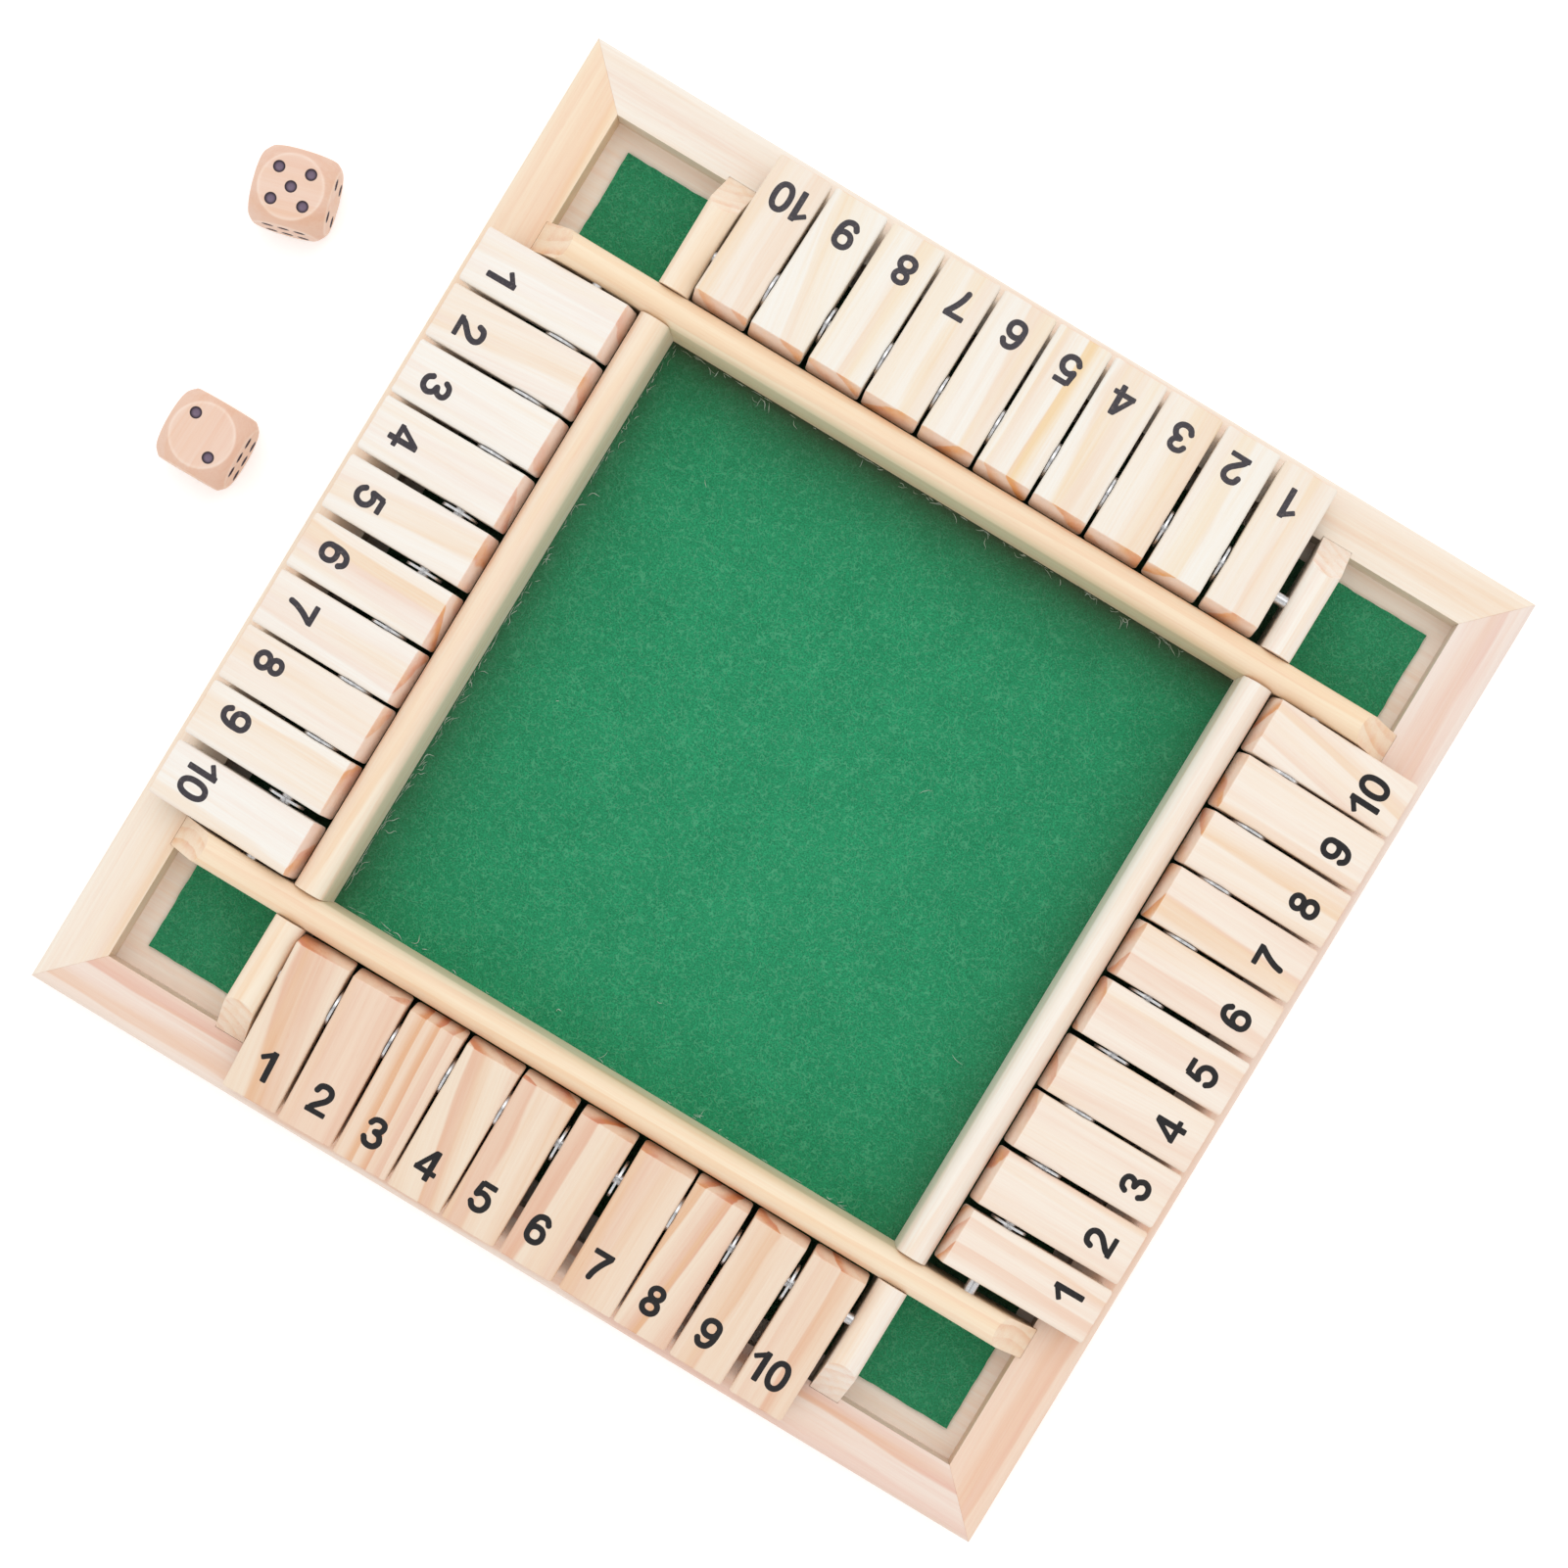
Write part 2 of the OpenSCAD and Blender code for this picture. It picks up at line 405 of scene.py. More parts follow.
@cache
def grain_group() -> bpy.types.NodeTree:
    """Figure of softwood, from a place in the log whose pith runs along x.

    Growth rings lie at equal steps of the warped distance from the pith. Each darkens slowly
    outwards and ends sharply, most of all on end grain. The ring numbered MAIN_RING has its full
    strength and the others a part of it. Fibres and soft streaks run along x.

    Returns:
        The node group, built at the first call.
    """
    tree, source, result = new_group(
        "wood_grain",
        {"Place": "Vector", "Ring": "Float", "Strength": "Float", "Warmth": "Float",
         "End": "Float", "Pale": "Color", "Warm": "Color", "EndPale": "Color", "Stain": "Color"},
        {"Color": "Color", "Height": "Float", "Roughness": "Float"},
    )
    given = source.outputs
    place = given["Place"]
    warp, fibre, streak, hue, duct = (
        tree.noise(tree.stretched(place, along, across), 1.0, detail, roughness)
        for along, across, detail, roughness in GRAIN_NOISES.values())
    warp = tree.math("MULTIPLY", tree.math("SUBTRACT", warp, 0.5), given["Ring"])
    radius = tree.math("ADD", tree.vector("LENGTH", tree.stretched(place, 0.0, 1.0)), warp)
    phase = tree.math("DIVIDE", radius, given["Ring"])
    share = tree.math("FRACT", phase)
    number = tree.math("FLOOR", phase)
    seed = tree.math("MULTIPLY_ADD", given["Strength"], 91.7, number)
    chance = tree.node("TexWhiteNoise", {"W": seed}, noise_dimensions="1D").outputs["Value"]
    main = tree.math("COMPARE", number, float(MAIN_RING), 0.5)
    ring_strength = tree.math("MAXIMUM", main, tree.ramp(chance, 0.0, 1.0, 0.2, 0.9))
    fall = tree.ramp(share, 2 * RING_EDGE - 1, 1.0, 1.0, 0.0)
    late = tree.math("MULTIPLY", tree.ramp(share, 0.2, 0.9), fall)
    late = tree.math("MULTIPLY", late, ring_strength)

    duct = tree.ramp(duct, 0.68, 0.76)
    strength = tree.math("MULTIPLY_ADD", given["End"], 0.3, given["Strength"])
    dark = tree.math("MULTIPLY", late, strength)
    dark = tree.math("MULTIPLY_ADD", duct, 0.12, dark)
    dark = tree.math("ADD", dark, tree.ramp(streak, 0.42, 0.68, 0.0, 0.22))
    dark = tree.math("ADD", dark, tree.ramp(fibre, 0.3, 0.7, 0.0, 0.15))

    side_pale = tree.mix(given["Warmth"], given["Pale"], given["Warm"])
    pale = tree.mix(tree.math("MULTIPLY", given["End"], 0.75), side_pale, given["EndPale"])
    pinker = tree.mix(tree.ramp(hue, 0.4, 0.6), WHITE, (0.98, 0.97, 1.15, 1.0))
    tint = tree.times(given["Stain"], pinker)
    tint = tree.mix(tree.math("MULTIPLY", given["End"], late), tint, tint, "MULTIPLY")
    tree.fill(result, {
        "Color": tree.times(pale, tree.mix(dark, WHITE, tint)),
        "Height": tree.math("MULTIPLY_ADD", late, 0.35, tree.math("MULTIPLY", fibre, 0.65)),
        "Roughness": tree.math("MULTIPLY_ADD", fibre, 0.16, 0.46),
    })
    return tree.tree


@cache
def strand_group() -> bpy.types.NodeTree:
    """Thin wandering hairs of pressed wool, as the half-way lines of soft noise.

    Returns:
        The node group, which puts out a mask of hairs, built at the first call.
    """
    tree, source, result = new_group(
        "wool_hairs", {"Place": "Vector", "Scale": "Float", "Width": "Float"}, {"Hairs": "Float"})
    given = source.outputs
    place = tree.scaled(given["Place"], given["Scale"])
    wave = tree.noise(place, 1.0, 1.0, 0.4)
    away = tree.math("ABSOLUTE", tree.math("SUBTRACT", wave, 0.5))
    line = tree.node("MapRange", {0: away, 1: 0.0, 2: given["Width"], 3: 1.0, 4: 0.0}).outputs[0]
    breaks = tree.ramp(tree.noise(place, 0.73, 1.0), 0.48, 0.6)
    tree.feed(result.inputs["Hairs"], tree.math("MULTIPLY", line, breaks))
    return tree.tree


@dataclass(frozen=True)
class Finish:
    """A finish, whose material is built once."""

    name: str

    def dress(self, tree: Tree, shader: bpy.types.Node) -> None:
        """Gives the shader its colours and relief."""
        raise NotImplementedError

    def material(self) -> bpy.types.Material:
        """The finish's material.

        Returns:
            The material, with one Principled shader that dress() has set up.
        """
        if self.name in bpy.data.materials:
            return bpy.data.materials[self.name]
        material = bpy.data.materials.new(self.name)
        material.use_nodes = True
        material.node_tree.nodes.clear()
        tree = Tree(material.node_tree)
        shader = tree.node("BsdfPrincipled")
        tree.node("OutputMaterial", {"Surface": shader.outputs[0]})
        self.dress(tree, shader)
        return material

    def put_on(self, piece: bpy.types.Object) -> None:
        """Makes this the piece's only material."""
        piece.data.materials.clear()
        piece.data.materials.append(self.material())


@dataclass(frozen=True)
class WoodFinish(Finish):
    """Bare sanded wood, placed in its log by what the mesh stores or by its own coordinates."""

    pale: tuple
    warm: tuple
    end_pale: tuple = colour(238, 214, 196)
    stain: tuple = (0.92, 0.67, 0.46, 1.0)
    stored: bool = True
    ring: float = 3.0
    strength: float = 0.3

    def dress(self, tree: Tree, shader: bpy.types.Node) -> None:
        """Joins the grain group to the shader.

        Args:
            tree: Tree of the material.
            shader: Its Principled shader.
        """
        grain = tree.node("Group", node_tree=grain_group())
        if self.stored:
            cut = tree.node("SeparateXYZ", {0: tree.attribute("cut").outputs["Vector"]})
            places = {"Place": tree.attribute("log_place").outputs["Vector"],
                      "Ring": cut.outputs[0], "Strength": cut.outputs[1],
                      "Warmth": cut.outputs[2], "End": tree.attribute("end").outputs["Fac"]}
        else:
            places = {"Place": tree.millimetres(), "Ring": self.ring, "Strength": self.strength,
                      "Warmth": 0.5, "End": 0.0}
        tree.fill(grain, places | {"Pale": self.pale, "Warm": self.warm, "EndPale": self.end_pale,
                                   "Stain": self.stain})
        tree.fill(shader, {"Base Color": grain.outputs["Color"],
                           "Roughness": grain.outputs["Roughness"], "Specular IOR Level": 0.3})
        tree.relief(shader, grain.outputs["Height"], 0.2, 0.35)


@dataclass(frozen=True)
class FeltFinish(Finish):
    """Pressed wool felt with mottled dye and pale wandering hairs, darkened by painted shade."""

    base: tuple
    deep: tuple
    hair: tuple
    well: tuple
    hair_sets: tuple = ((0.4, 0.03), (0.7, 0.05), (1.1, 0.07))
    hair_share: float = 0.4

    def dress(self, tree: Tree, shader: bpy.types.Node) -> None:
        """Mixes dye, mottling and hairs, darkens them by painted shade, and raises a soft nap.

        Args:
            tree: Tree of the material.
            shader: Its Principled shader.
        """
        place = tree.millimetres()
        mottle = tree.noise(place, 0.12, 5.0, 0.65)
        fine = tree.noise(place, 3.0, 3.0, 0.75)
        dye = tree.mix(tree.ramp(mottle, 0.25, 0.75), self.deep, self.base)
        dye = tree.scaled(dye, tree.ramp(fine, 0.3, 0.7, 0.62, 1.34))
        masks = []
        for scale, width in self.hair_sets:
            shifted = tree.vector("ADD", place, (scale * 311.0, scale * 97.0, 0.0))
            hairs = tree.node("Group", {"Place": shifted, "Scale": scale, "Width": width},
                              node_tree=strand_group())
            masks.append(hairs.outputs[0])
        hair = tree.math("MAXIMUM", tree.math("MAXIMUM", masks[0], masks[1]), masks[2])
        dye = tree.mix(tree.math("MULTIPLY", hair, self.hair_share), dye, self.hair)
        # Painted shade: the stored share darkens the felt towards a shaded colour in the wells, the
        # pockets and along the rails.
        stain = tree.attribute("well").outputs["Fac"]
        tree.fill(shader, {"Base Color": tree.mix(stain, dye, self.well), "Roughness": 0.95,
                           "Specular IOR Level": 0.1, "Sheen Weight": 0.15, "Sheen Roughness": 0.6,
                           "Sheen Tint": (0.55, 0.85, 0.65, 1.0)})
        tree.relief(shader, tree.math("MULTIPLY_ADD", hair, 0.5, fine), 0.35, 0.6)


@dataclass(frozen=True)
class LintFinish(Finish):
    """Loose pale fluff."""

    shade: tuple

    def dress(self, tree: Tree, shader: bpy.types.Node) -> None:
        """Mottles the fluff's colour.

        Args:
            tree: Tree of the material.
            shader: Its Principled shader.
        """
        soft = tree.ramp(tree.noise(tree.millimetres(), 0.8), 0.3, 0.7)
        darker = tuple(0.7 * part for part in self.shade[:3]) + (1.0,)
        tree.fill(shader, {"Base Color": tree.mix(soft, darker, self.shade), "Roughness": 0.9})


@dataclass(frozen=True)
class SteelFinish(Finish):
    """Bright steel with fine drawing marks."""

    shade: tuple
    bright: tuple
    roughness: float

    def dress(self, tree: Tree, shader: bpy.types.Node) -> None:
        """Varies the gloss along fine marks.

        Args:
            tree: Tree of the material.
            shader: Its Principled shader.
        """
        place = tree.millimetres()
        marks = tree.noise(tree.vector("MULTIPLY", place, (5.0, 5.0, 0.6)), 1.0, 3.0)
        tree.fill(shader, {
            "Base Color": tree.mix(tree.ramp(marks, 0.3, 0.7), self.shade, self.bright),
            "Roughness": tree.math("MULTIPLY_ADD", marks, 0.2, self.roughness - 0.1),
            "Metallic": 1.0,
        })


@dataclass(frozen=True)
class InkFinish(Finish):
    """Printed ink, a little thin where the fibres stand up."""

    ink: tuple
    thin: tuple

    def dress(self, tree: Tree, shader: bpy.types.Node) -> None:
        """Thins the ink in small patches.

        Args:
            tree: Tree of the material.
            shader: Its Principled shader.
        """
        patch = tree.noise(tree.millimetres(), 1.4, 4.0, 0.7)
        tree.fill(shader, {
            "Base Color": tree.mix(tree.ramp(patch, 0.5, 0.85), self.ink, self.thin),
            "Roughness": tree.math("MULTIPLY_ADD", patch, 0.25, 0.32),
            "Specular IOR Level": 0.45,
        })


@dataclass(frozen=True)
class DieFinish(WoodFinish):
    """Tumbled hardwood with glossy painted pips, whose middles are lighter as a painted highlight."""

    # The pips' middle colour is a painted highlight on dark paint.
    paint: tuple = colour(122, 104, 124)
    rim: tuple = colour(34, 22, 30)

    def dress(self, tree: Tree, shader: bpy.types.Node) -> None:
        """Paints the wood where the mesh says that a pip lies, darker round its rim and lighter in
        the middle as a painted highlight of its gloss.

        Args:
            tree: Tree of the material.
            shader: Its Principled shader.
        """
        super().dress(tree, shader)
        wood = shader.inputs["Base Color"].links[0].from_socket
        rough = shader.inputs["Roughness"].links[0].from_socket
        depth = tree.attribute("pip").outputs["Fac"]
        inside = tree.ramp(depth, -0.06, 0.06)
        # Painted highlight: the pip grows lighter from its dark rim to its middle.
        paint = tree.mix(tree.ramp(depth, 0.0, 0.8), self.rim, self.paint)
        tree.fill(shader, {"Base Color": tree.mix(inside, wood, paint),
                           "Roughness": tree.math("MULTIPLY_ADD", inside, -0.3, rough)})


@dataclass(frozen=True)
class FloorFinish(Finish):
    """White paper that the camera and mirrors see as white, and that keeps its shadows."""

    lift: float = 0.25

    def dress(self, tree: Tree, shader: bpy.types.Node) -> None:
        """Adds a little white of its own for camera and mirror rays.

        Args:
            tree: Tree of the material.
            shader: Its Principled shader.
        """
        rays = tree.node("LightPath").outputs
        seen = tree.math("MAXIMUM", rays["Is Camera Ray"], rays["Is Glossy Ray"])
        tree.fill(shader, {"Emission Strength": tree.math("MULTIPLY", seen, self.lift),
                           "Emission Color": WHITE, "Base Color": (0.94, 0.94, 0.94, 1.0),
                           "Roughness": 0.9, "Specular IOR Level": 0.0})


# Painted light: the flaps' colours differ by side as light falls from the north, the north and west
# flaps and their ends paler and the south ones darker. The lit and shaded frames are painted light too.
PINE = {
    "flap_south": WoodFinish("pine_of_south_flaps", colour(237, 220, 199), colour(234, 203, 180),
                             colour(239, 213, 190), (0.89, 0.64, 0.47, 1.0)),
    "flap_east": WoodFinish("pine_of_east_flaps", colour(242, 231, 218), colour(238, 215, 192),
                            colour(239, 215, 196), (0.93, 0.72, 0.52, 1.0)),
    "flap_north": WoodFinish("pine_of_north_flaps", colour(238, 234, 226), colour(236, 219, 201),
                             colour(244, 217, 200), (0.97, 0.76, 0.50, 1.0)),
    "flap_west": WoodFinish("pine_of_west_flaps", colour(241, 237, 230), colour(239, 223, 206),
                            colour(247, 221, 206), (0.95, 0.74, 0.54, 1.0)),
    "frame_lit": WoodFinish("pine_of_lit_frame", colour(240, 232, 221), colour(243, 221, 191)),
    "frame_shaded": WoodFinish("pine_of_shaded_frame", colour(237, 225, 216),
                               colour(237, 209, 185), stain=(0.91, 0.66, 0.50, 1.0)),
    "rail": WoodFinish("pine_of_rails", colour(242, 236, 226), colour(243, 222, 190)),
    "base": WoodFinish("plywood", colour(250, 242, 233), colour(248, 235, 222), stored=False,
                       ring=2.4, strength=0.1),
    "die": DieFinish("beech_of_dice", colour(240, 218, 203), colour(226, 188, 166)),
}
# The felt's last colour is painted shade, for its wells, pockets and edges along the rails.
FELT = FeltFinish("wool_felt", colour(43, 148, 102), colour(37, 138, 94), colour(104, 186, 144),
                  colour(60, 63, 44))
LINT = LintFinish("pale_lint", colour(200, 216, 204))
STEEL = SteelFinish("bright_steel", (0.60, 0.60, 0.62, 1.0), (0.9, 0.9, 0.9, 1.0), 0.34)
# Painted glare: the north and west numbers are printed in greyer ink where light falls on them from the
# north.
INK = {
    "plain_ink": InkFinish("number_ink", colour(14, 11, 14), colour(50, 42, 42)),
    "painted_glare_ink": InkFinish("number_ink_worn", colour(52, 47, 54), colour(112, 100, 98)),
}
PAPER = FloorFinish("white_paper")


@dataclass(frozen=True)
class Cut:
    """How a wooden piece was sawn from its log.

    Sizes are in millimetres and angles in degrees. The pith lies far to one side of the piece,
    so a growth ring crosses its face as a streak. The drift is added to the warmth at the
    player's right end and taken from it at the left one. Sawn ends show by the share end_show.
    """

    ring: float = 3.0
    strength: float = 0.3
    warmth: float = 0.3
    streak: float = 0.0
    lean: float = 0.0
    bearing: float = 20.0
    mirrored: bool = False
    start: float = 0.0
    face: float = 4.0
    drift: float = 0.0
    end_show: float = 1.0

    def dress(self, piece: bpy.types.Object, local: np.ndarray, grain: np.ndarray,
              grain_axis: int, warmth: np.ndarray | float = 0.0) -> None:
        """Stores the log's coordinates, the cut and the end grain on a piece.

        The log's x runs along the fibres, which lean a little in the plane of the face. The
        main ring ends at the streak's place. The pith lies that far to one side, turned by the
        bearing, or to the other side where the cut is mirrored.

        Args:
            piece: Mesh object.
            local: The points in the piece's own coordinates.
            grain: Direction of the fibres in the row's axes.
            grain_axis: Own axis of the fibres, 0 or 1. The other of the two runs across.
            warmth: Warmth to add, at each point or at all of them.
        """
        across_axis = 1 - grain_axis
        lean, bearing = math.radians(self.lean), math.radians(self.bearing)
        along = local[:, grain_axis] * math.cos(lean) + local[:, across_axis] * math.sin(lean)
        across = local[:, across_axis] * math.cos(lean) - local[:, grain_axis] * math.sin(lean)
        pith = self.ring * (MAIN_RING + RING_EDGE)
        away = (self.streak - across) if self.mirrored else (across - self.streak)
        side = away + pith * math.cos(bearing)
        height = local[:, 2] - self.face + pith * math.sin(bearing)
        store(piece, "log_place", np.stack([along + self.start, side, height], axis=1))
        cut = np.tile([self.ring, self.strength, self.warmth], (len(local), 1))
        cut[:, 2] += warmth
        store(piece, "cut", cut)
        ends = np.abs(vectors_of(piece.data.polygons, "normal") @ grain) > SAWN_END
        store(piece, "end", ends * self.end_show, "FACE")


def softened_copy(node: str, name: str, ease: float) -> bpy.types.Object:
    """Copies a CAD node, joins its loose triangles and eases its edges.

    Args:
        node: CAD node to copy. Its copy stands for it.
        name: Name of the copy.
        ease: Width of the bevel along every edge, in millimetres.

    Returns:
        The new object.
    """
    shape = bmesh.new()
    shape.from_mesh(frame["nodes"][node].data)
    bmesh.ops.remove_doubles(shape, verts=shape.verts, dist=0.001 * MM)
    bmesh.ops.dissolve_limit(shape, angle_limit=math.radians(0.5), verts=shape.verts,
                             edges=shape.edges)
    mesh = bpy.data.meshes.new(name)
    shape.to_mesh(mesh)
    shape.free()
    sharp_angle = 30
    piece = add_mesh(name, mesh, sharp_angle)
    bevel = piece.modifiers.new("eased edges", "BEVEL")
    bevel.width = ease * MM
    bevel.segments = 2
    bevel.limit_method = "ANGLE"
    bevel.angle_limit = math.radians(sharp_angle)
    bevel.harden_normals = True
    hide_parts(node)
    return piece


@dataclass
class Base:
    """Mitred frame, plywood base and the grid of rails."""

    frame_ease: float = 0.06
    rail_ease: float = 0.15

    def members(self) -> None:
        """Dresses the four frame members, whose fibres run along their side."""
        cuts = {
            Side.SOUTH: Cut(6.5, 0.75, 0.25, streak=-101.9, lean=-0.4, bearing=20, mirrored=True,
                            start=40, face=12),
            Side.EAST: Cut(9.0, 0.45, 0.45, streak=-107, lean=0.4, bearing=25, mirrored=True,
                           start=410, face=12, drift=-0.4),
            Side.NORTH: Cut(9.0, 0.15, 0.1, streak=-103, lean=0.5, bearing=30, start=840, face=12,
                            drift=-0.15),
            Side.WEST: Cut(13.0, 0.32, 0.45, streak=-99, lean=0.7, bearing=20, start=1300, face=12,
                           drift=-0.3),
        }
        for side, cut in cuts.items():
            finish = PINE["frame_lit" if side in (Side.NORTH, Side.WEST) else "frame_shaded"]
            self.bar("frame", side, cut, self.frame_ease, finish)

    def rails(self) -> None:
        """Dresses the four rails, whose fibres run along their side."""
        cuts = {
            Side.SOUTH: Cut(2.8, 0.30, 0.8, streak=-70, lean=0.9, bearing=15, start=150,
                            face=26, end_show=0.4),
            Side.EAST: Cut(2.9, 0.25, 0.0, streak=-69, lean=-0.5, bearing=60, start=560,
                           face=26, end_show=0.4),
            Side.NORTH: Cut(3.0, 0.32, 0.85, streak=-68.9, lean=0.6, bearing=20, start=990,
                            face=26, end_show=0.4),
            Side.WEST: Cut(2.9, 0.30, 0.5, streak=-68, lean=-0.6, bearing=60, start=1440,
                           face=26, end_show=0.4),
        }
        for side, cut in cuts.items():
            self.bar("rail", side, cut, self.rail_ease, PINE["rail"])

    def bar(self, kind: str, side: Side, cut: Cut, ease: float, finish: WoodFinish) -> None:
        """Dresses one straight piece along a side.

        Args:
            kind: frame or rail.
            side: Side of the board.
            cut: How the piece was sawn.
            ease: Width of its eased edges.
            finish: Its wood.
        """
        piece = softened_copy(f"{kind}_{side.label}", f"{kind}_{side.label}_wood", ease)
        local = side.turn(points_of(piece), back=True)
        grain = side.turn(np.array([[1.0, 0.0, 0.0]]))[0]
        cut.dress(piece, local, grain, 0, cut.drift * local[:, 0] / local[:, 0].max())
        finish.put_on(piece)
        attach(piece, "board")
        LOG.info("%s dressed", piece.name)

    def build(self) -> None:
        """Dresses the frame, the rails and the plywood."""
        self.members()
        self.rails()
        PINE["base"].put_on(frame["nodes"]["base_board"])


@dataclass
class Felt:
    """The sheet of felt under the rails.

    Its naps are the sizes of soft noise, in grid steps. The trim is how far each edge lies
    inside its place, in millimetres: west, east, south, north.
    The painted shade along the rails, in the order of the sides, fades over its reach, and that
    of the wells and pockets grows over the border's width. It darkens the felt where it lies in shade.
    """

    points_across: int = 280
    fine_nap: float = 3.0
    broad_nap: float = 14.0
    broad_share: float = 0.8
    edge_nap: float = 5.0
    relief: float = 0.05
    edge_wander: float = 0.12
    rim_power: int = 40
    # Painted shade: how dark the felt is made in the wells, the pockets and along each rail.
    well_stain: float = 0.7
    pocket_stain: float = 0.15
    stain_border: float = 2.0
    wall_stains: tuple[float, float, float, float] = (0.0, 0.32, 0.95, 0.55)
    stain_reach: float = 5.5
    trim: tuple[float, float, float, float] = (0.6, -0.54, 1.08, 0.2)

    def sheet(self) -> bpy.types.Object:
        """Makes the sheet of felt, cut a little out of square with the board.

        The top is a grid over the sheet, sunk by soft noise. Its outline wanders a little, and
        its outer rows drop round the edge to the underside, which is one flat face.

        Returns:
            The sheet.
        """
        low, high = self.extent()
        count = self.points_across
        line = np.linspace(0.0, 1.0, count)
        v, u = np.meshgrid(line, line, indexing="ij")
        peak = 2.5
        wander = self.edge_wander * (smooth_noise(count, count, self.edge_nap, 3) - peak) / peak
        rim_share = np.maximum(np.abs(2 * u - 1), np.abs(2 * v - 1)) ** self.rim_power
        pull = np.abs(rim_share * wander)
        x = low[0] + (high[0] - low[0]) * u - (2 * u - 1) * pull
        y = low[1] + (high[1] - low[1]) * v - (2 * v - 1) * pull
        broad = smooth_noise(count, count, self.broad_nap, 2)
        nap = smooth_noise(count, count, self.fine_nap, 1) + self.broad_share * broad
        z = high[2] - self.relief * np.clip(nap / peak + 1.0, 0.0, 2.0)
        top = np.stack([x, y, z], axis=-1)
        number = np.arange(count * count).reshape(count, count)
        sides = (number[0, :-1], number[:-1, -1], number[-1, :0:-1], number[:0:-1, 0])
        edge = np.concatenate(sides)
        rim = top.reshape(-1, 3)[edge]
        underside = rim * [1, 1, 0] + [0, 0, low[2]]
        points = np.concatenate([top.reshape(-1, 3), underside])
        lower = count * count + np.arange(len(edge))
        skirt = np.stack([edge, lower, np.roll(lower, -1), np.roll(edge, -1)], axis=1)
        faces = [*grid_faces(count, count, False, False)[:, ::-1].tolist(), *skirt.tolist(),
                 lower[::-1].tolist()]
        piece = make_piece("felt_cover", points, faces, 50)
        # Painted shade in the wells, the corner pockets and along the rails.
        store(piece, "well", self.in_wells(points))
        return piece

    def extent(self) -> tuple[np.ndarray, np.ndarray]:
        """Finds the sheet's place as it was cut.

        Returns:
            Its lowest and highest corners, in millimetres.
        """
        low, high = node_box("felt_sheet")
        west, east, south, north = self.trim
        return low + [west, south, 0], high - [east, north, 0]

    def in_wells(self, points: np.ndarray) -> np.ndarray:
        """How far each point is darkened by painted shade.

        Args:
            points: Places, one row each.

        Returns:
            Shares: most in the wells, a little in the corner pockets, and in the tray a
            part of each rail's own that falls by exp(-d / reach) with the distance d from it.
        """
        rail_low, rail_high = node_box("rail_east")
        beyond = (np.sort(np.abs(points[:, :2]), axis=1) - rail_high[0]) / self.stain_border
        outside = np.clip(beyond[:, 1], 0.0, 1.0)
        pocket = np.clip(beyond[:, 0] + 1.0, 0.0, 1.0)
        border = outside * (self.well_stain * (1 - pocket) + self.pocket_stain * pocket)
        gaps = [rail_low[0] - side.turn(points, back=True) @ [0.0, -1.0, 0.0] for side in Side]
        wall_shades = [self.wall_stains[side.value] * np.exp(-np.maximum(gap, 0.0) / self.stain_reach)
                  for side, gap in zip(Side, gaps)]
        return np.where(outside > 0, border, np.max(wall_shades, axis=0))

    def build(self) -> None:
        """Lays the felt on the plywood."""
        sheet = self.sheet()
        FELT.put_on(sheet)
        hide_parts("felt_sheet")
        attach(sheet, "board")
        LOG.info("felt laid")


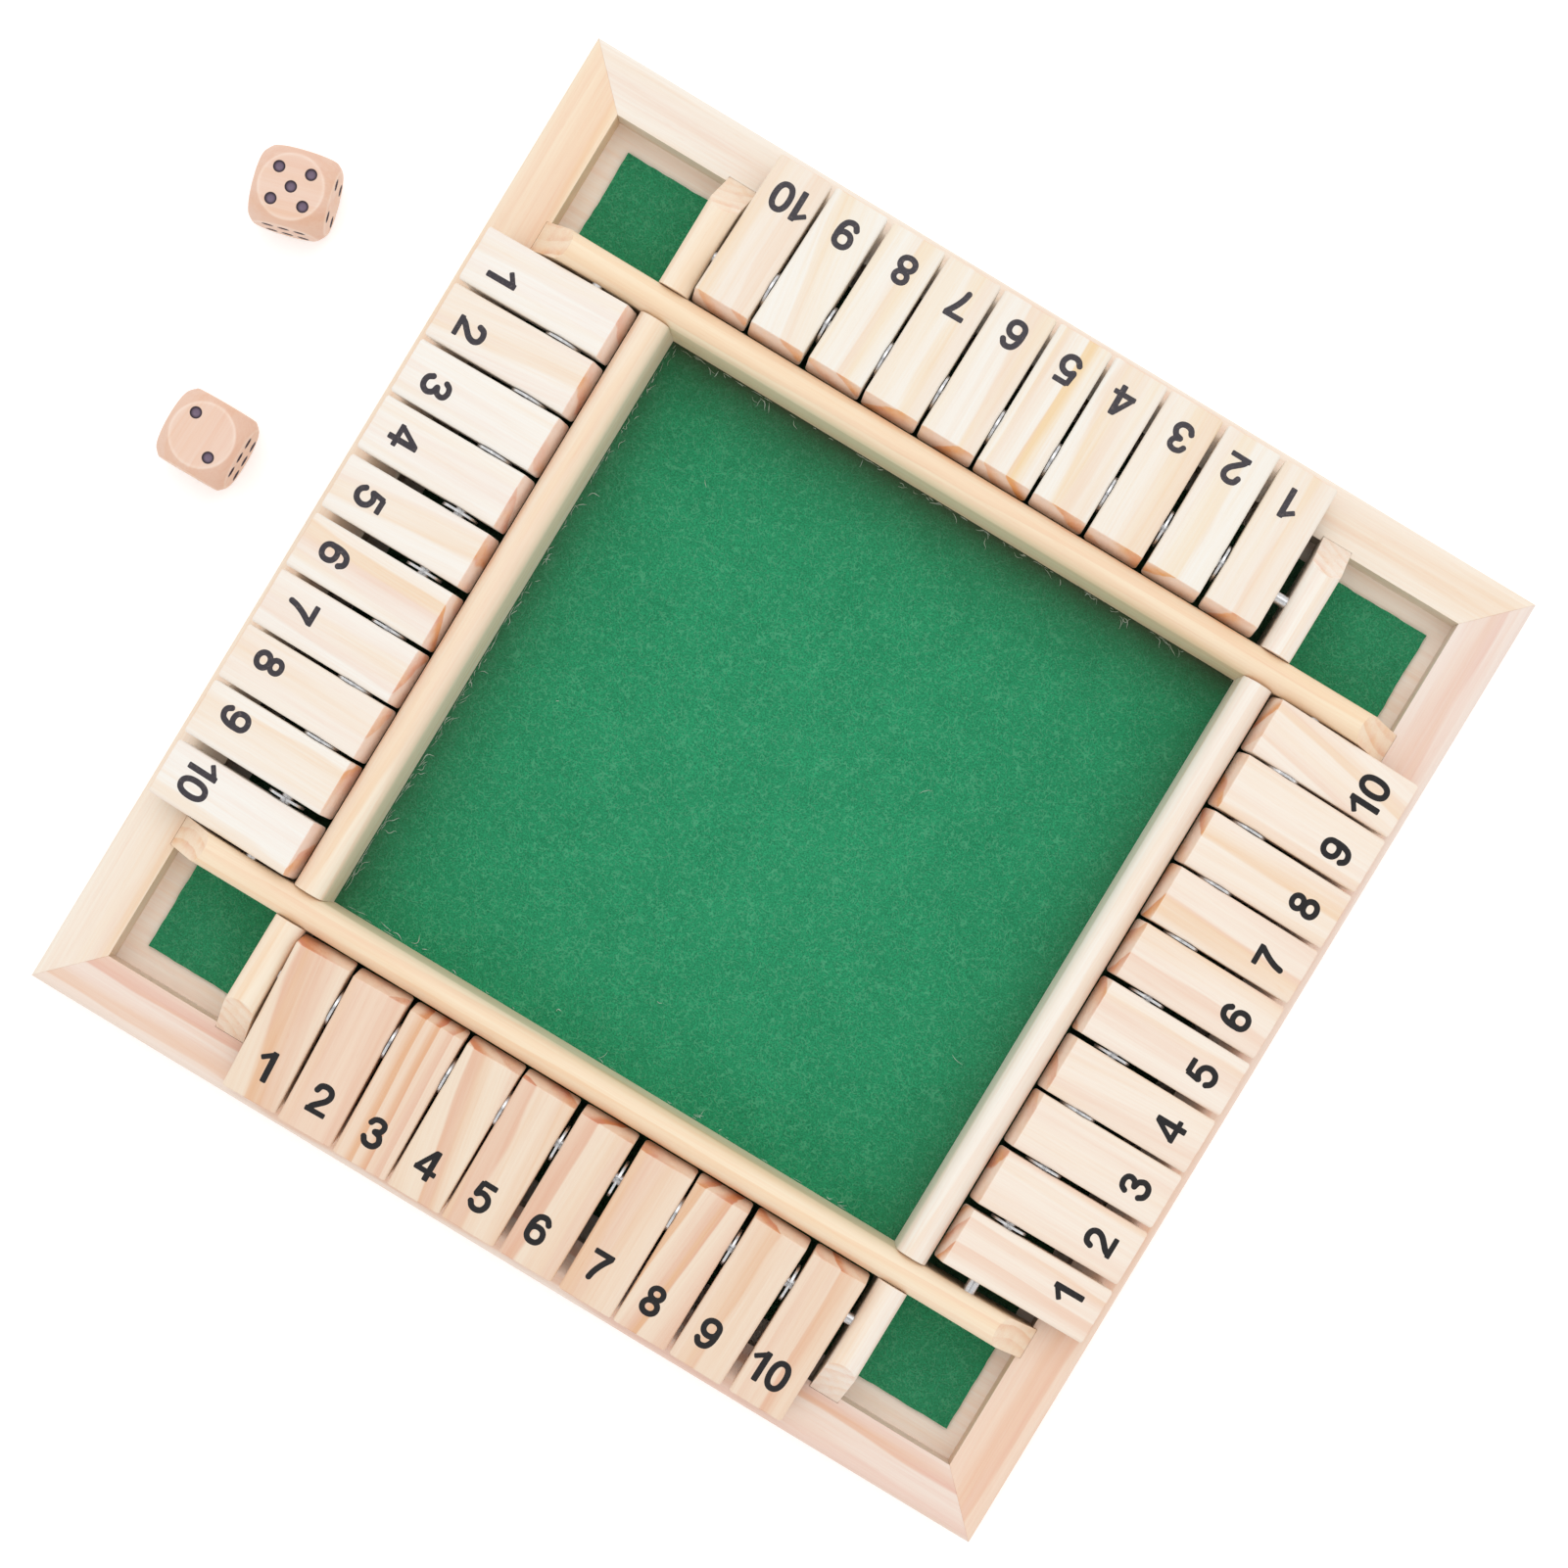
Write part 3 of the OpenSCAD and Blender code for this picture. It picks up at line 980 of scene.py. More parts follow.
@dataclass
class Lint:
    """Loose fibres of fluff on the felt, most of them along the tray's west and north edges.

    Sizes are in millimetres and headings in radians. The shares say how many fibres lie along
    the west and north rails. Astray, bend and wave are the scatter of the headings.
    """

    count: int = 260
    scattered: int = 6
    stations: int = 10
    wall_gap: float = 0.3
    spread: float = 0.3
    west_share: float = 0.55
    north_share: float = 0.3
    lengths: tuple[float, float] = (0.8, 3.4)
    radii: tuple[float, float] = (0.03, 0.07)
    lifts: tuple[float, float] = (0.05, 0.5)
    clearance: float = 0.02
    end_radius: float = 0.35
    astray: float = 0.4
    bend: float = 0.8
    wave: float = 0.4
    seed: int = 11

    def fibres(self) -> tuple[np.ndarray, np.ndarray, np.ndarray]:
        """Draws the fibres' paths.

        A path turns steadily: its heading at share s is start + bend s + wave sin(2 pi s), and
        it is the running sum of its steps. It lifts and swells by sin(pi s) of its greatest.

        Returns:
            The heading, the place and the radius at each station, one row for each fibre.
        """
        draw = np.random.default_rng(self.seed)
        column = (self.count, 1)
        inner = node_box("rail_east")[0][0] - self.wall_gap
        along = draw.uniform(-inner, inner, self.count)
        depth = inner - draw.exponential(self.spread, self.count)
        depth[:self.scattered] = draw.uniform(-inner, inner, self.scattered)
        kind = draw.random(self.count)
        west = kind < self.west_share
        north = ~west & (kind < self.west_share + self.north_share)
        x = np.where(west, -depth, along)
        y = np.where(west, along, np.where(north, depth, -depth))
        start = np.where(west, math.pi / 2, 0.0) + draw.normal(0.0, self.astray, self.count)
        share = np.linspace(0.0, 1.0, self.stations)[None, :]
        bend = draw.normal(0.0, self.bend, column)
        wave = draw.normal(0.0, self.wave, column)
        heading = start[:, None] + bend * share + wave * np.sin(2 * math.pi * share)
        step = draw.uniform(*self.lengths, column) / self.stations
        path_x = np.clip(x[:, None] + np.cumsum(np.cos(heading) * step, axis=1), -inner, inner)
        path_y = np.clip(y[:, None] + np.cumsum(np.sin(heading) * step, axis=1), -inner, inner)
        swell = np.sin(math.pi * share)
        lift = draw.uniform(*self.lifts, column) * swell
        path_z = node_box("felt_sheet")[1][2] + self.clearance + lift
        radius = draw.uniform(*self.radii, column) * (self.end_radius + swell)
        return heading, np.stack([path_x, path_y, path_z], axis=-1), radius

    def surface(self) -> tuple[np.ndarray, list]:
        """Carries a three-sided section along each path and closes its ends.

        A point of the section lies at the path plus the radius times n cos a + k sin a, with n
        the level normal of the heading, k straight up, and a at none, one or two thirds of a turn.

        Returns:
            The points and the faces.
        """
        heading, path, radius = self.fibres()
        normal = np.stack([-np.sin(heading), np.cos(heading), np.zeros_like(heading)], axis=-1)
        turn = np.arange(3)[:, None] * 2 * math.pi / 3
        section = normal[:, :, None, :] * np.cos(turn) + np.array([0.0, 0.0, 1.0]) * np.sin(turn)
        points = path[:, :, None, :] + section * radius[:, :, None, None]
        first = (np.arange(self.count) * self.stations * 3)[:, None]
        tube = grid_faces(self.stations, 3, False, True)
        faces = (tube[None] + first[:, :, None]).reshape(-1, 4).tolist()
        faces += (first + [2, 1, 0]).tolist()
        faces += (first + (self.stations - 1) * 3 + [0, 1, 2]).tolist()
        return points.reshape(-1, 3), faces

    def build(self) -> None:
        """Scatters the fluff on the felt."""
        lint = make_piece("felt_lint", *self.surface(), 80)
        LINT.put_on(lint)
        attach(lint, "board")
        LOG.info("fluff scattered")


def steel_parts() -> None:
    """Gives the rods and the washers their bright steel."""
    for node in [f"rod_{side.label}" for side in Side] + ["spacer_washers"]:
        STEEL.put_on(frame["nodes"][node])
    LOG.info("steel parts dressed")


@dataclass(frozen=True)
class Pen:
    """A curved stroke of a number, drawn with a round pen through a few places.

    Sizes are shares of the number's height, with zero at the middle of its foot.
    """

    places: tuple
    half_width: float = 0.09
    closed: bool = False

    def path(self, steps: int = 24) -> np.ndarray:
        """Points along the Catmull-Rom curve through the stroke's places.

        Args:
            steps: Points in each span.

        Returns:
            The points. Between b and c, with neighbours a and d, the point at share t is half of
            2b + (c - a)t + (2a - 5b + 4c - d)t^2 + (3b - a - 3c + d)t^3.
        """
        knots = np.array(self.places, float)
        if self.closed:
            knots = np.concatenate([knots[-1:], knots, knots[:2]])
        else:
            before, after = 2 * knots[:1] - knots[1:2], 2 * knots[-1:] - knots[-2:-1]
            knots = np.concatenate([before, knots, after])
        a, b, c, d = (knots[k:len(knots) - 3 + k, None, :] for k in range(4))
        t = np.linspace(0.0, 1.0, steps)[None, :, None]
        curve = (2 * b + (c - a) * t + (2 * a - 5 * b + 4 * c - d) * t ** 2
                 + (3 * b - a - 3 * c + d) * t ** 3) / 2
        return curve.reshape(-1, 2)

    def distance(self, places: np.ndarray) -> np.ndarray:
        """Distance of each place from the stroke's edge, below zero inside it."""
        gaps = places[:, None, :] - self.path()[None, :, :]
        return np.sqrt((gaps ** 2).sum(axis=2)).min(axis=1) - self.half_width


@dataclass(frozen=True)
class Bar:
    """A straight stroke of a number with square ends and slightly round corners."""

    start: tuple
    end: tuple
    half_width: float = 0.09
    corner: float = 0.035

    def distance(self, places: np.ndarray) -> np.ndarray:
        """Distance of each place from the bar's edge, below zero inside it.

        With q the place's size along and across the bar, less the bar's half size inside its
        corners, it is |max(q, 0)| + min(max(q), 0) less the corner's radius.

        Args:
            places: Places, one row each.

        Returns:
            One distance for each place.
        """
        start, end = np.array(self.start, float), np.array(self.end, float)
        along = (end - start) / np.linalg.norm(end - start)
        across = np.array([-along[1], along[0]])
        gap = places - (start + end) / 2
        half = np.array([np.linalg.norm(end - start) / 2, self.half_width]) - self.corner
        q = np.abs(np.stack([gap @ along, gap @ across], axis=1)) - half
        outside = np.linalg.norm(np.maximum(q, 0.0), axis=1)
        return outside + np.minimum(q.max(axis=1), 0.0) - self.corner


def ring(middle: float, half_width: float, half_height: float, power: float = 2.2,
         pen: float = 0.088) -> Pen:
    """A closed stroke round a superellipse |x/a|^p + |y/b|^p = 1.

    Args:
        middle: Height of its centre.
        half_width: Its half width, a.
        half_height: Its half height, b.
        power: The exponent, p.
        pen: Half width of the stroke.

    Returns:
        The stroke.
    """
    angle = np.linspace(0.0, 2 * math.pi, 16, endpoint=False)
    x = half_width * np.sign(np.cos(angle)) * np.abs(np.cos(angle)) ** (2 / power)
    y = middle + half_height * np.sign(np.sin(angle)) * np.abs(np.sin(angle)) ** (2 / power)
    return Pen(tuple(zip(x.tolist(), y.tolist())), pen, closed=True)


SIX_BACK = ((0.235, 0.765), (0.15, 0.885), (0.02, 0.915), (-0.13, 0.85), (-0.215, 0.68), (-0.24, 0.48),
            (-0.235, 0.32))
DIGITS = {
    "0": (ring(0.5, 0.245, 0.415, 2.3, 0.09),),
    "1": (Bar((0.10, 0.0), (0.10, 1.0), 0.095), Bar((-0.27, 0.66), (0.13, 0.945), 0.075)),
    "2": (Pen(((-0.24, 0.71), (-0.17, 0.86), (0.0, 0.915), (0.17, 0.86), (0.235, 0.71), (0.17, 0.53),
               (0.0, 0.36), (-0.15, 0.22), (-0.22, 0.10))), Bar((-0.335, 0.08), (0.335, 0.08), 0.08)),
    "3": (Pen(((-0.245, 0.745), (-0.16, 0.87), (0.0, 0.915), (0.15, 0.865), (0.2, 0.745), (0.14, 0.605),
               (-0.01, 0.545)), 0.085),
          Pen(((-0.01, 0.535), (0.16, 0.475), (0.24, 0.30), (0.16, 0.14), (0.0, 0.085), (-0.165, 0.13),
               (-0.255, 0.265)))),
    "4": (Bar((0.13, 0.0), (0.13, 1.0), 0.092), Bar((-0.36, 0.285), (0.37, 0.285), 0.08),
          Bar((-0.30, 0.27), (0.10, 0.955), 0.075)),
    "5": (Bar((-0.19, 0.915), (0.29, 0.915), 0.085), Bar((-0.17, 0.95), (-0.235, 0.50), 0.08),
          Pen(((-0.21, 0.53), (-0.09, 0.61), (0.04, 0.615), (0.19, 0.53), (0.245, 0.345), (0.165, 0.155),
               (0.0, 0.085), (-0.155, 0.125), (-0.25, 0.245)))),
    "6": (ring(0.325, 0.24, 0.24), Pen(SIX_BACK)),
    "7": (Bar((-0.33, 0.915), (0.33, 0.915), 0.085), Bar((0.22, 0.97), (0.30, 0.90), 0.05),
          Pen(((0.24, 0.88), (0.07, 0.60), (-0.05, 0.32), (-0.10, 0.10)), 0.09)),
    "8": (ring(0.735, 0.2, 0.18, 2.1, 0.084), ring(0.295, 0.235, 0.208, 2.1, 0.088)),
    "9": (ring(0.675, 0.24, 0.24), Pen(tuple((-x, 1 - y) for x, y in SIX_BACK))),
}


@dataclass
class Number:
    """A printed number: an ink film a few hundredths of a millimetre thick.

    The reach is how far its grid goes beyond the middles of the outer digits, and above and
    below the number's middle, in heights.
    """

    text: str
    height: float = 6.9
    advance: float = 4.6
    cell: float = 0.1
    proud: float = 0.015
    film: float = 0.06
    spread: float = 0.03
    narrow: float = 0.95
    reach: tuple[float, float] = (0.5, 0.6)
    least_steep: float = 0.25

    def strokes_distance(self, places: np.ndarray) -> np.ndarray:
        """Distance of each place from the number's edge, in millimetres, below zero inside.

        Args:
            places: Places about the number's middle, in millimetres.

        Returns:
            The least of the distances from its strokes.
        """
        middle = (len(self.text) - 1) / 2
        distances = []
        for index, digit in enumerate(self.text):
            shifted = (places - [(index - middle) * self.advance, 0.0]) / self.height + [0.0, 0.5]
            distances += [stroke.distance(shifted) for stroke in DIGITS[digit]]
        return np.min(distances, axis=0) * self.height - self.spread

    def outline_mesh(self) -> tuple[np.ndarray, np.ndarray]:
        """Fills the number with the quads of a fine grid.

        A cell is kept where its middle lies inside the strokes. The corners between kept and
        dropped cells move onto the edge, by the distance along its slope.

        Returns:
            The flat points about the number's middle, and the quads.
        """
        half_x = (len(self.text) - 1) * self.advance / 2 + self.reach[0] * self.height
        half_y = self.reach[1] * self.height
        x = np.arange(-half_x, half_x + self.cell, self.cell)
        y = np.arange(-half_y, half_y + self.cell, self.cell)
        grid_y, grid_x = np.meshgrid(y, x, indexing="ij")
        places = np.stack([grid_x, grid_y], axis=-1).reshape(-1, 2)
        gap = self.strokes_distance(places).reshape(grid_x.shape)
        middles = (gap[:-1, :-1] + gap[1:, :-1] + gap[:-1, 1:] + gap[1:, 1:]) / 4
        kept = middles < 0
        touched = np.zeros(gap.shape, int)
        for dy, dx in ((0, 0), (0, 1), (1, 0), (1, 1)):
            touched[dy:dy + kept.shape[0], dx:dx + kept.shape[1]] += kept
        edge = (touched > 0) & (touched < 4)
        slope_y, slope_x = np.gradient(gap, self.cell)
        steep = np.maximum(slope_x ** 2 + slope_y ** 2, self.least_steep)
        move = np.clip(gap / steep, -self.cell, self.cell) * edge
        moved = np.stack([grid_x - move * slope_x, grid_y - move * slope_y], axis=-1)
        moved = moved.reshape(-1, 2)
        faces = grid_faces(*gap.shape, False, False)[kept.ravel()]
        used, inverse = np.unique(faces, return_inverse=True)
        return moved[used] * [self.narrow, 1.0], inverse.reshape(faces.shape)


# Steps along the log from one flap to the next and from side to side, in millimetres
FLAP_STEP = 57
SIDE_STEP = 700


@dataclass(frozen=True)
class FlapWood:
    """The wood of one flap, read from the photograph.

    Rings lie at steps of the spacing, and the main one ends sharply at the streak's place. It
    fades towards -x, or towards +x where it is mirrored. Sizes are in millimetres.
    """

    spacing: float = 8.0
    streak: float = 0.0
    strength: float = 0.1
    lean: float = 0.0
    mirrored: bool = False
    warmth: float = 0.0
    bearing: float = 32.0

    def cut(self, number: int, side: Side) -> Cut:
        """The cut that gives this figure on that flap."""
        return Cut(self.spacing, self.strength, self.warmth, self.streak, self.lean, self.bearing,
                   self.mirrored, start=number * FLAP_STEP + side.value * SIDE_STEP)


FLAP_ROWS = {
    Side.SOUTH: (
        (13, -2.9, 0.72, -4.5, True, 0.1), (9, 1.5, 0.22, -2, True, 0.6, -32),
        (3.3, 0.9, 0.9, -1, False, 0.4, 10), (7, -2.4, 0.72, -9, True, 0.0, 40),
        (9, -3.1, 0.55, -3.5, False, 0.1, -45), (6.0, -2.9, 0.75, 0, False, 0.1, 48),
        (14, -7.0, 0.45, 0, True, 0.2), (5.5, 1.6, 0.9, 4.5, False, 0.15, 15),
        (9, 1.3, 0.5, 0, False, 0.2, -35), (4.2, 0.5, 0.5, -1, True, 0.3)),
    Side.EAST: (
        (4.5, -1.2, 0.6, 1, False, 0.1, -35), (9, 3.6, 0.5, 1, True, 0.1),
        (12, 3.0, 0.1, 0, False, 0.1), (9, -1.3, 0.3, -3, False, 0.1),
        (8, 2.6, 0.4, 0, False, 0.0), (7.5, -1.0, 0.45, 1, False, 0.1, -35),
        (9, 0.6, 0.6, 2, False, 0.1, -40), (8, 0.6, 0.5, -1, True, 0.0, -32),
        (10, -4.5, 0.4, 0, False, 0.0), (4.5, 1.9, 0.5, 9, True, 0.0, 40)),
    Side.NORTH: (
        (9, 0.4, 0.35, 0, False, 0.3), (8, 0.4, 0.4, 1, True, 0.0, -40),
        (12, -6.0, 0.55, 0, True, 0.2), (11, 3.5, 0.4, 0, False, 0.0, -50),
        (5.3, -0.4, 0.85, 0, False, 0.0, -25), (10, -2.0, 0.45, 0, False, 0.0),
        (9, -0.4, 0.35, 0, False, 0.1, 45), (5.5, 1.1, 0.35, 1, False, 0.0, -50),
        (9, 0.9, 0.35, -9, False, 0.0, -35), (7, -2.4, 0.3, 0, False, 0.45, -35)),
    Side.WEST: (
        (10, -1.2, 0.2, -2, False, 0.0), (12, 2.0, 0.3, -5, False, 0.2, 40),
        (12, 5.0, 0.08, 0, False, 0.0), (9, -2.6, 0.15, 0, True, 0.0, -40),
        (9, 0.6, 0.35, -5, False, 0.1, 5), (8, -4.2, 0.6, 1, True, 0.1, -45),
        (7.5, 2.8, 0.35, 0, False, 0.1, -45), (14, 1.0, 0.2, 0, False, 0.4, -32),
        (14, -3.5, 0.35, 0, True, 0.1), (10, 2.9, 0.35, 1, True, 0.0, 45)),
}
FLAP_WOODS = {side: tuple(FlapWood(*row) for row in rows) for side, rows in FLAP_ROWS.items()}
PRINT_ROWS = {Side.SOUTH: -16.65, Side.EAST: -16.9, Side.NORTH: -16.9, Side.WEST: -16.5}
PRINT_OFFSETS = {
    Side.SOUTH: (0.2, 0.0, -0.3, -0.7, -0.8, -1.6, -1.3, -1.1, -1.4, -1.4),
    Side.EAST: (1.0, -0.3, -0.5, 0.0, -0.5, -0.9, -0.6, -0.6, -1.0, -1.2),
    Side.NORTH: (0.9, 0.6, -0.2, 0.5, 0.0, -0.2, -0.8, -0.8, -0.5, -1.0),
    Side.WEST: (1.6, 1.0, 1.0, -0.1, 0.1, -0.5, -0.9, -1.3, -1.3, -1.2),
}
FLAP_YAWS = {Side.SOUTH: (1.9, 1.5, 0.9, 0.2, 0.0, -0.1, 0.2, 0.0, -0.8, 0.0)}


@dataclass
class Flap:
    """One numbered flap, resting with its toe on the frame.

    Its own coordinates start at the rod: x along the rod to the player's right, y towards the
    heel beside the rail, z up from the middle of its thickness. A slope tips its toe down. Its
    long edges are rounded, and its ends are sawn nearly square. The print's turn and shift are
    the scatter of its number, in degrees and millimetres.
    """

    side: Side
    number: int
    width: float = 12.1
    length: float = 33.7
    thickness: float = 7.81
    heel: float = 9.0
    slope: float = 14.5
    edge: float = 0.8
    corner: float = 0.3
    end_share: float = 0.35
    bore: float = 3.0
    edge_steps: int = 4
    width_steps: int = 4
    print_turn: float = 0.6
    print_shift: float = 0.1
    name: str = field(init=False)
    rod: np.ndarray = field(init=False)
    yaw: float = field(init=False)

    def __post_init__(self) -> None:
        """Finds the flap's hinge in the frame."""
        self.name = f"flap_{self.side.label}_{self.number}"
        hinge = next(j for j in frame["joints"] if j["name"] == self.name + "_swing")
        self.rod = np.array(hinge["pos_m"]) / MM
        yaws = FLAP_YAWS.get(self.side)
        self.yaw = yaws[self.number - 1] if yaws else 0.0

    def outline(self, inset: float, arc_steps: int = 5, side_steps: int = 12) -> np.ndarray:
        """Points round the flap's section, which is a rectangle with round corners.

        Args:
            inset: Distance of the outline inside the full one. The ends move by a share of it.
            arc_steps: Steps in each corner's arc.
            side_steps: Steps along each straight.

        Returns:
            The y and z of the points, anticlockwise from the lower corner at the heel.
        """
        inward = np.array([self.end_share, 1.0]) * inset + self.corner
        low = np.array([self.heel - self.length, -self.thickness / 2]) + inward
        high = np.array([self.heel, self.thickness / 2]) - inward
        centres = ((high[0], low[1]), (high[0], high[1]), (low[0], high[1]), (low[0], low[1]))
        pieces = []
        for corner, centre in enumerate(centres):
            angle = (corner - 1 + np.linspace(0.0, 1.0, arc_steps + 1)) * math.pi / 2
            arc = self.corner * np.stack([np.cos(angle), np.sin(angle)], axis=1)
            pieces.append(np.array(centre) + arc)
        parts = []
        for corner, arc in enumerate(pieces):
            following = pieces[(corner + 1) % 4][0]
            share = np.linspace(0.0, 1.0, side_steps + 1)[1:-1, None]
            parts += [arc, arc[-1] * (1 - share) + following * share]
        return np.concatenate(parts)

    def surface(self) -> tuple[np.ndarray, np.ndarray]:
        """The flap's skin as one grid that closes both ways.

        Round the section runs the outline. Across the flap the grid goes from the bore out over
        one side, round the eased edge, over the width, and back into the bore on the other side.
        A bore point lies on the same ray from the rod as its outline point.

        Returns:
            The points in the flap's own coordinates, and the quads.
        """
        full, inner = self.outline(0.0), self.outline(self.edge)
        ray = inner / np.linalg.norm(inner, axis=1, keepdims=True)
        rim = ray * self.bore / 2
        half = self.width / 2
        left = [(-half, rim), (-half, (rim + inner) / 2)]
        for angle in np.linspace(math.pi / 2, 0.0, self.edge_steps + 1):
            shape = self.outline(self.edge * (1 - math.cos(angle)))
            left.append((self.edge * (1 - math.sin(angle)) - half, shape))
        line = np.linspace(-half + self.edge, half - self.edge, self.width_steps + 1)
        middle = [(x, full) for x in line[1:-1]]
        rows = left + middle + [(-x, shape) for x, shape in reversed(left)]
        points = np.concatenate([np.insert(shape, 0, x, axis=1) for x, shape in rows])
        return points, grid_faces(len(rows), len(full), True, True)

    def place(self, local: np.ndarray) -> np.ndarray:
        """Brings points from the flap's own coordinates to the row's.

        Args:
            local: Places in the flap's own coordinates.

        Returns:
            The places tipped by the slope about x, turned by the yaw about the upright,
            brought to the flap's side and moved to its rod.
        """
        yaw, slope = math.radians(self.yaw), math.radians(self.slope)
        turn = Matrix.Rotation(yaw, 3, "Z") @ Matrix.Rotation(slope, 3, "X")
        return self.side.turn(local @ np.array(turn).T) + self.rod

    def build(self) -> None:
        """Makes the flap and its printed number, and hangs both on the flap's body."""
        points, faces = self.surface()
        piece = make_piece(self.name + "_wood", self.place(points), outward(points, faces), 30)
        grain = self.place(np.array([[0.0, 1.0, 0.0]]))[0] - self.rod
        wood = FLAP_WOODS[self.side][self.number - 1]
        wood.cut(self.number, self.side).dress(piece, points, grain, 1)
        PINE["flap_" + self.side.label].put_on(piece)
        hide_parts(self.name)
        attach(piece, self.name + "_body")
        self.build_number()
        LOG.info("%s built", piece.name)

    def build_number(self) -> None:
        """Prints the flap's number on its face, near the toe."""
        number = Number(str(self.number))
        draw = np.random.default_rng(self.side.value * 10 + self.number)
        across, along = PRINT_OFFSETS[self.side][self.number - 1], PRINT_ROWS[self.side]
        turn = math.radians(draw.normal(0.0, self.print_turn))
        flat, faces = number.outline_mesh()
        spin = np.array([[math.cos(turn), math.sin(turn)], [-math.sin(turn), math.cos(turn)]])
        flat = flat @ spin + [across, along + draw.normal(0.0, self.print_shift)]
        top = np.full((len(flat), 1), self.thickness / 2 + number.proud)
        piece = make_piece(f"number_{self.side.label}_{self.number}",
                           self.place(np.hstack([flat, top])), faces, 30)
        film = piece.modifiers.new("ink film", "SOLIDIFY")
        film.thickness = number.film * MM
        film.offset = -1.0
        # Painted glare: greyer ink on the north and west flaps.
        INK["painted_glare_ink" if self.side in (Side.NORTH, Side.WEST) else "plain_ink"].put_on(piece)
        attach(piece, self.name + "_body")


PIPS = (
    ((0, 0),),
    ((-1, -1), (1, 1)),
    ((-1, 1), (0, 0), (1, -1)),
    ((-1, -1), (-1, 1), (1, -1), (1, 1)),
    ((-1, -1), (-1, 1), (0, 0), (1, -1), (1, 1)),
    ((-1, -1), (0, -1), (1, -1), (-1, 1), (0, 1), (1, 1)),
)
PIP_TURNS = ((-90, 0), (180, 0), (0, -90), (0, 90), (0, 0), (90, 0))


@dataclass
class Die:
    """A tumbled wooden die: a cube whose corners and edges lie on a ball.

    Its warmth is that of the flat faces, dips on their rims, where a pale ring is a painted
    highlight, and rises over the ball's reach.
    """

    node: str
    turns: tuple[float, float, float]
    size: float = 16.0
    ball: float = 20.8
    pip: float = 2.5
    pip_depth: float = 0.6
    pip_step: float = 3.3
    cells: int = 72
    rim_power: float = 130.0
    face_warmth: float = 0.45
    ball_warmth: float = 0.3
    ball_reach: float = 0.3
    rim_dip: float = 0.45
    rim_width: float = 0.22

    def face_turn(self, face: int) -> np.ndarray:
        """The matrix that brings +Z to a face, given by turns about X and then about Y."""
        about_x, about_y = (math.radians(a) for a in PIP_TURNS[face])
        return np.array(Matrix.Rotation(about_y, 3, "Y") @ Matrix.Rotation(about_x, 3, "X"))

    def surface(self) -> tuple[np.ndarray, np.ndarray, np.ndarray, np.ndarray]:
        """The die's skin, from six square grids.

        A grid point p of the cube moves along its ray to (|p|^-n + r^-n)^(-1/n), which is the
        nearer of the cube and the ball of radius r with a softened rim. Within a pip's radius
        a, at distance d, it sinks by the pip's depth times 1 - (d/a)^2.

        Returns:
            The points about the die's centre, the quads, how far each point lies inside the
            nearest pip, and its warmth: least on the rims of the flat faces, a painted highlight, and
            most on the ball.
        """
        half, power = self.size / 2, self.rim_power
        line = np.tan(np.linspace(-math.pi / 4, math.pi / 4, self.cells + 1)) * half
        b, a = np.meshgrid(line, line, indexing="ij")
        flat = np.stack([a, b, np.full_like(a, half)], axis=-1).reshape(-1, 3)
        one = grid_faces(self.cells + 1, self.cells + 1, False, False)
        points, faces = [], []
        for face in range(6):
            faces.append(one + face * len(flat))
            points.append(flat @ self.face_turn(face).T)
        points, faces = merge_points(np.concatenate(points), np.concatenate(faces))
        length = np.linalg.norm(points, axis=1)
        radius = (length ** -power + (self.ball / 2) ** -power) ** (-1 / power)
        points = points * (radius / length)[:, None]
        past_rim = length - self.ball / 2
        on_ball = np.clip(past_rim / self.ball_reach, 0.0, 1.0)
        on_rim = np.exp(-(past_rim / self.rim_width) ** 2)
        # Painted highlight: the rims of the flat faces are paler.
        warmth = self.face_warmth + self.ball_warmth * on_ball - self.rim_dip * on_rim
        inside = np.full(len(points), -self.size)
        for face, pips in enumerate(PIPS):
            turn = self.face_turn(face)
            for x, y in pips:
                centre = turn @ np.array([x * self.pip_step, y * self.pip_step, half])
                gap = np.linalg.norm(points - centre, axis=1)
                depth = self.pip_depth * np.clip(1 - (gap / (self.pip / 2)) ** 2, 0.0, 1.0)
                points = points - depth[:, None] * turn[:, 2]
                inside = np.maximum(inside, self.pip / 2 - gap)
        return points, faces, inside, warmth

    def build(self) -> None:
        """Makes the die where its node lies."""
        points, faces, inside, warmth = self.surface()
        low, high = node_box(self.node)
        turn = np.eye(3)
        for angle, axis in zip(self.turns, "YZZ"):
            turn = np.array(Matrix.Rotation(math.radians(angle), 3, axis)) @ turn
        placed = points @ turn.T + (low + high) / 2
        piece = make_piece(self.node + "_wood", placed, outward(points, faces), 60)
        cut = Cut(ring=7.0, strength=0.16, warmth=0.0, lean=2, bearing=35, start=abs(low[1]) * 7)
        cut.dress(piece, points, np.zeros(3), 0, warmth)
        store(piece, "pip", inside)
        PINE["die"].put_on(piece)
        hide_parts(self.node)
        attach(piece, self.node + "_body")
        LOG.info("%s built", piece.name)


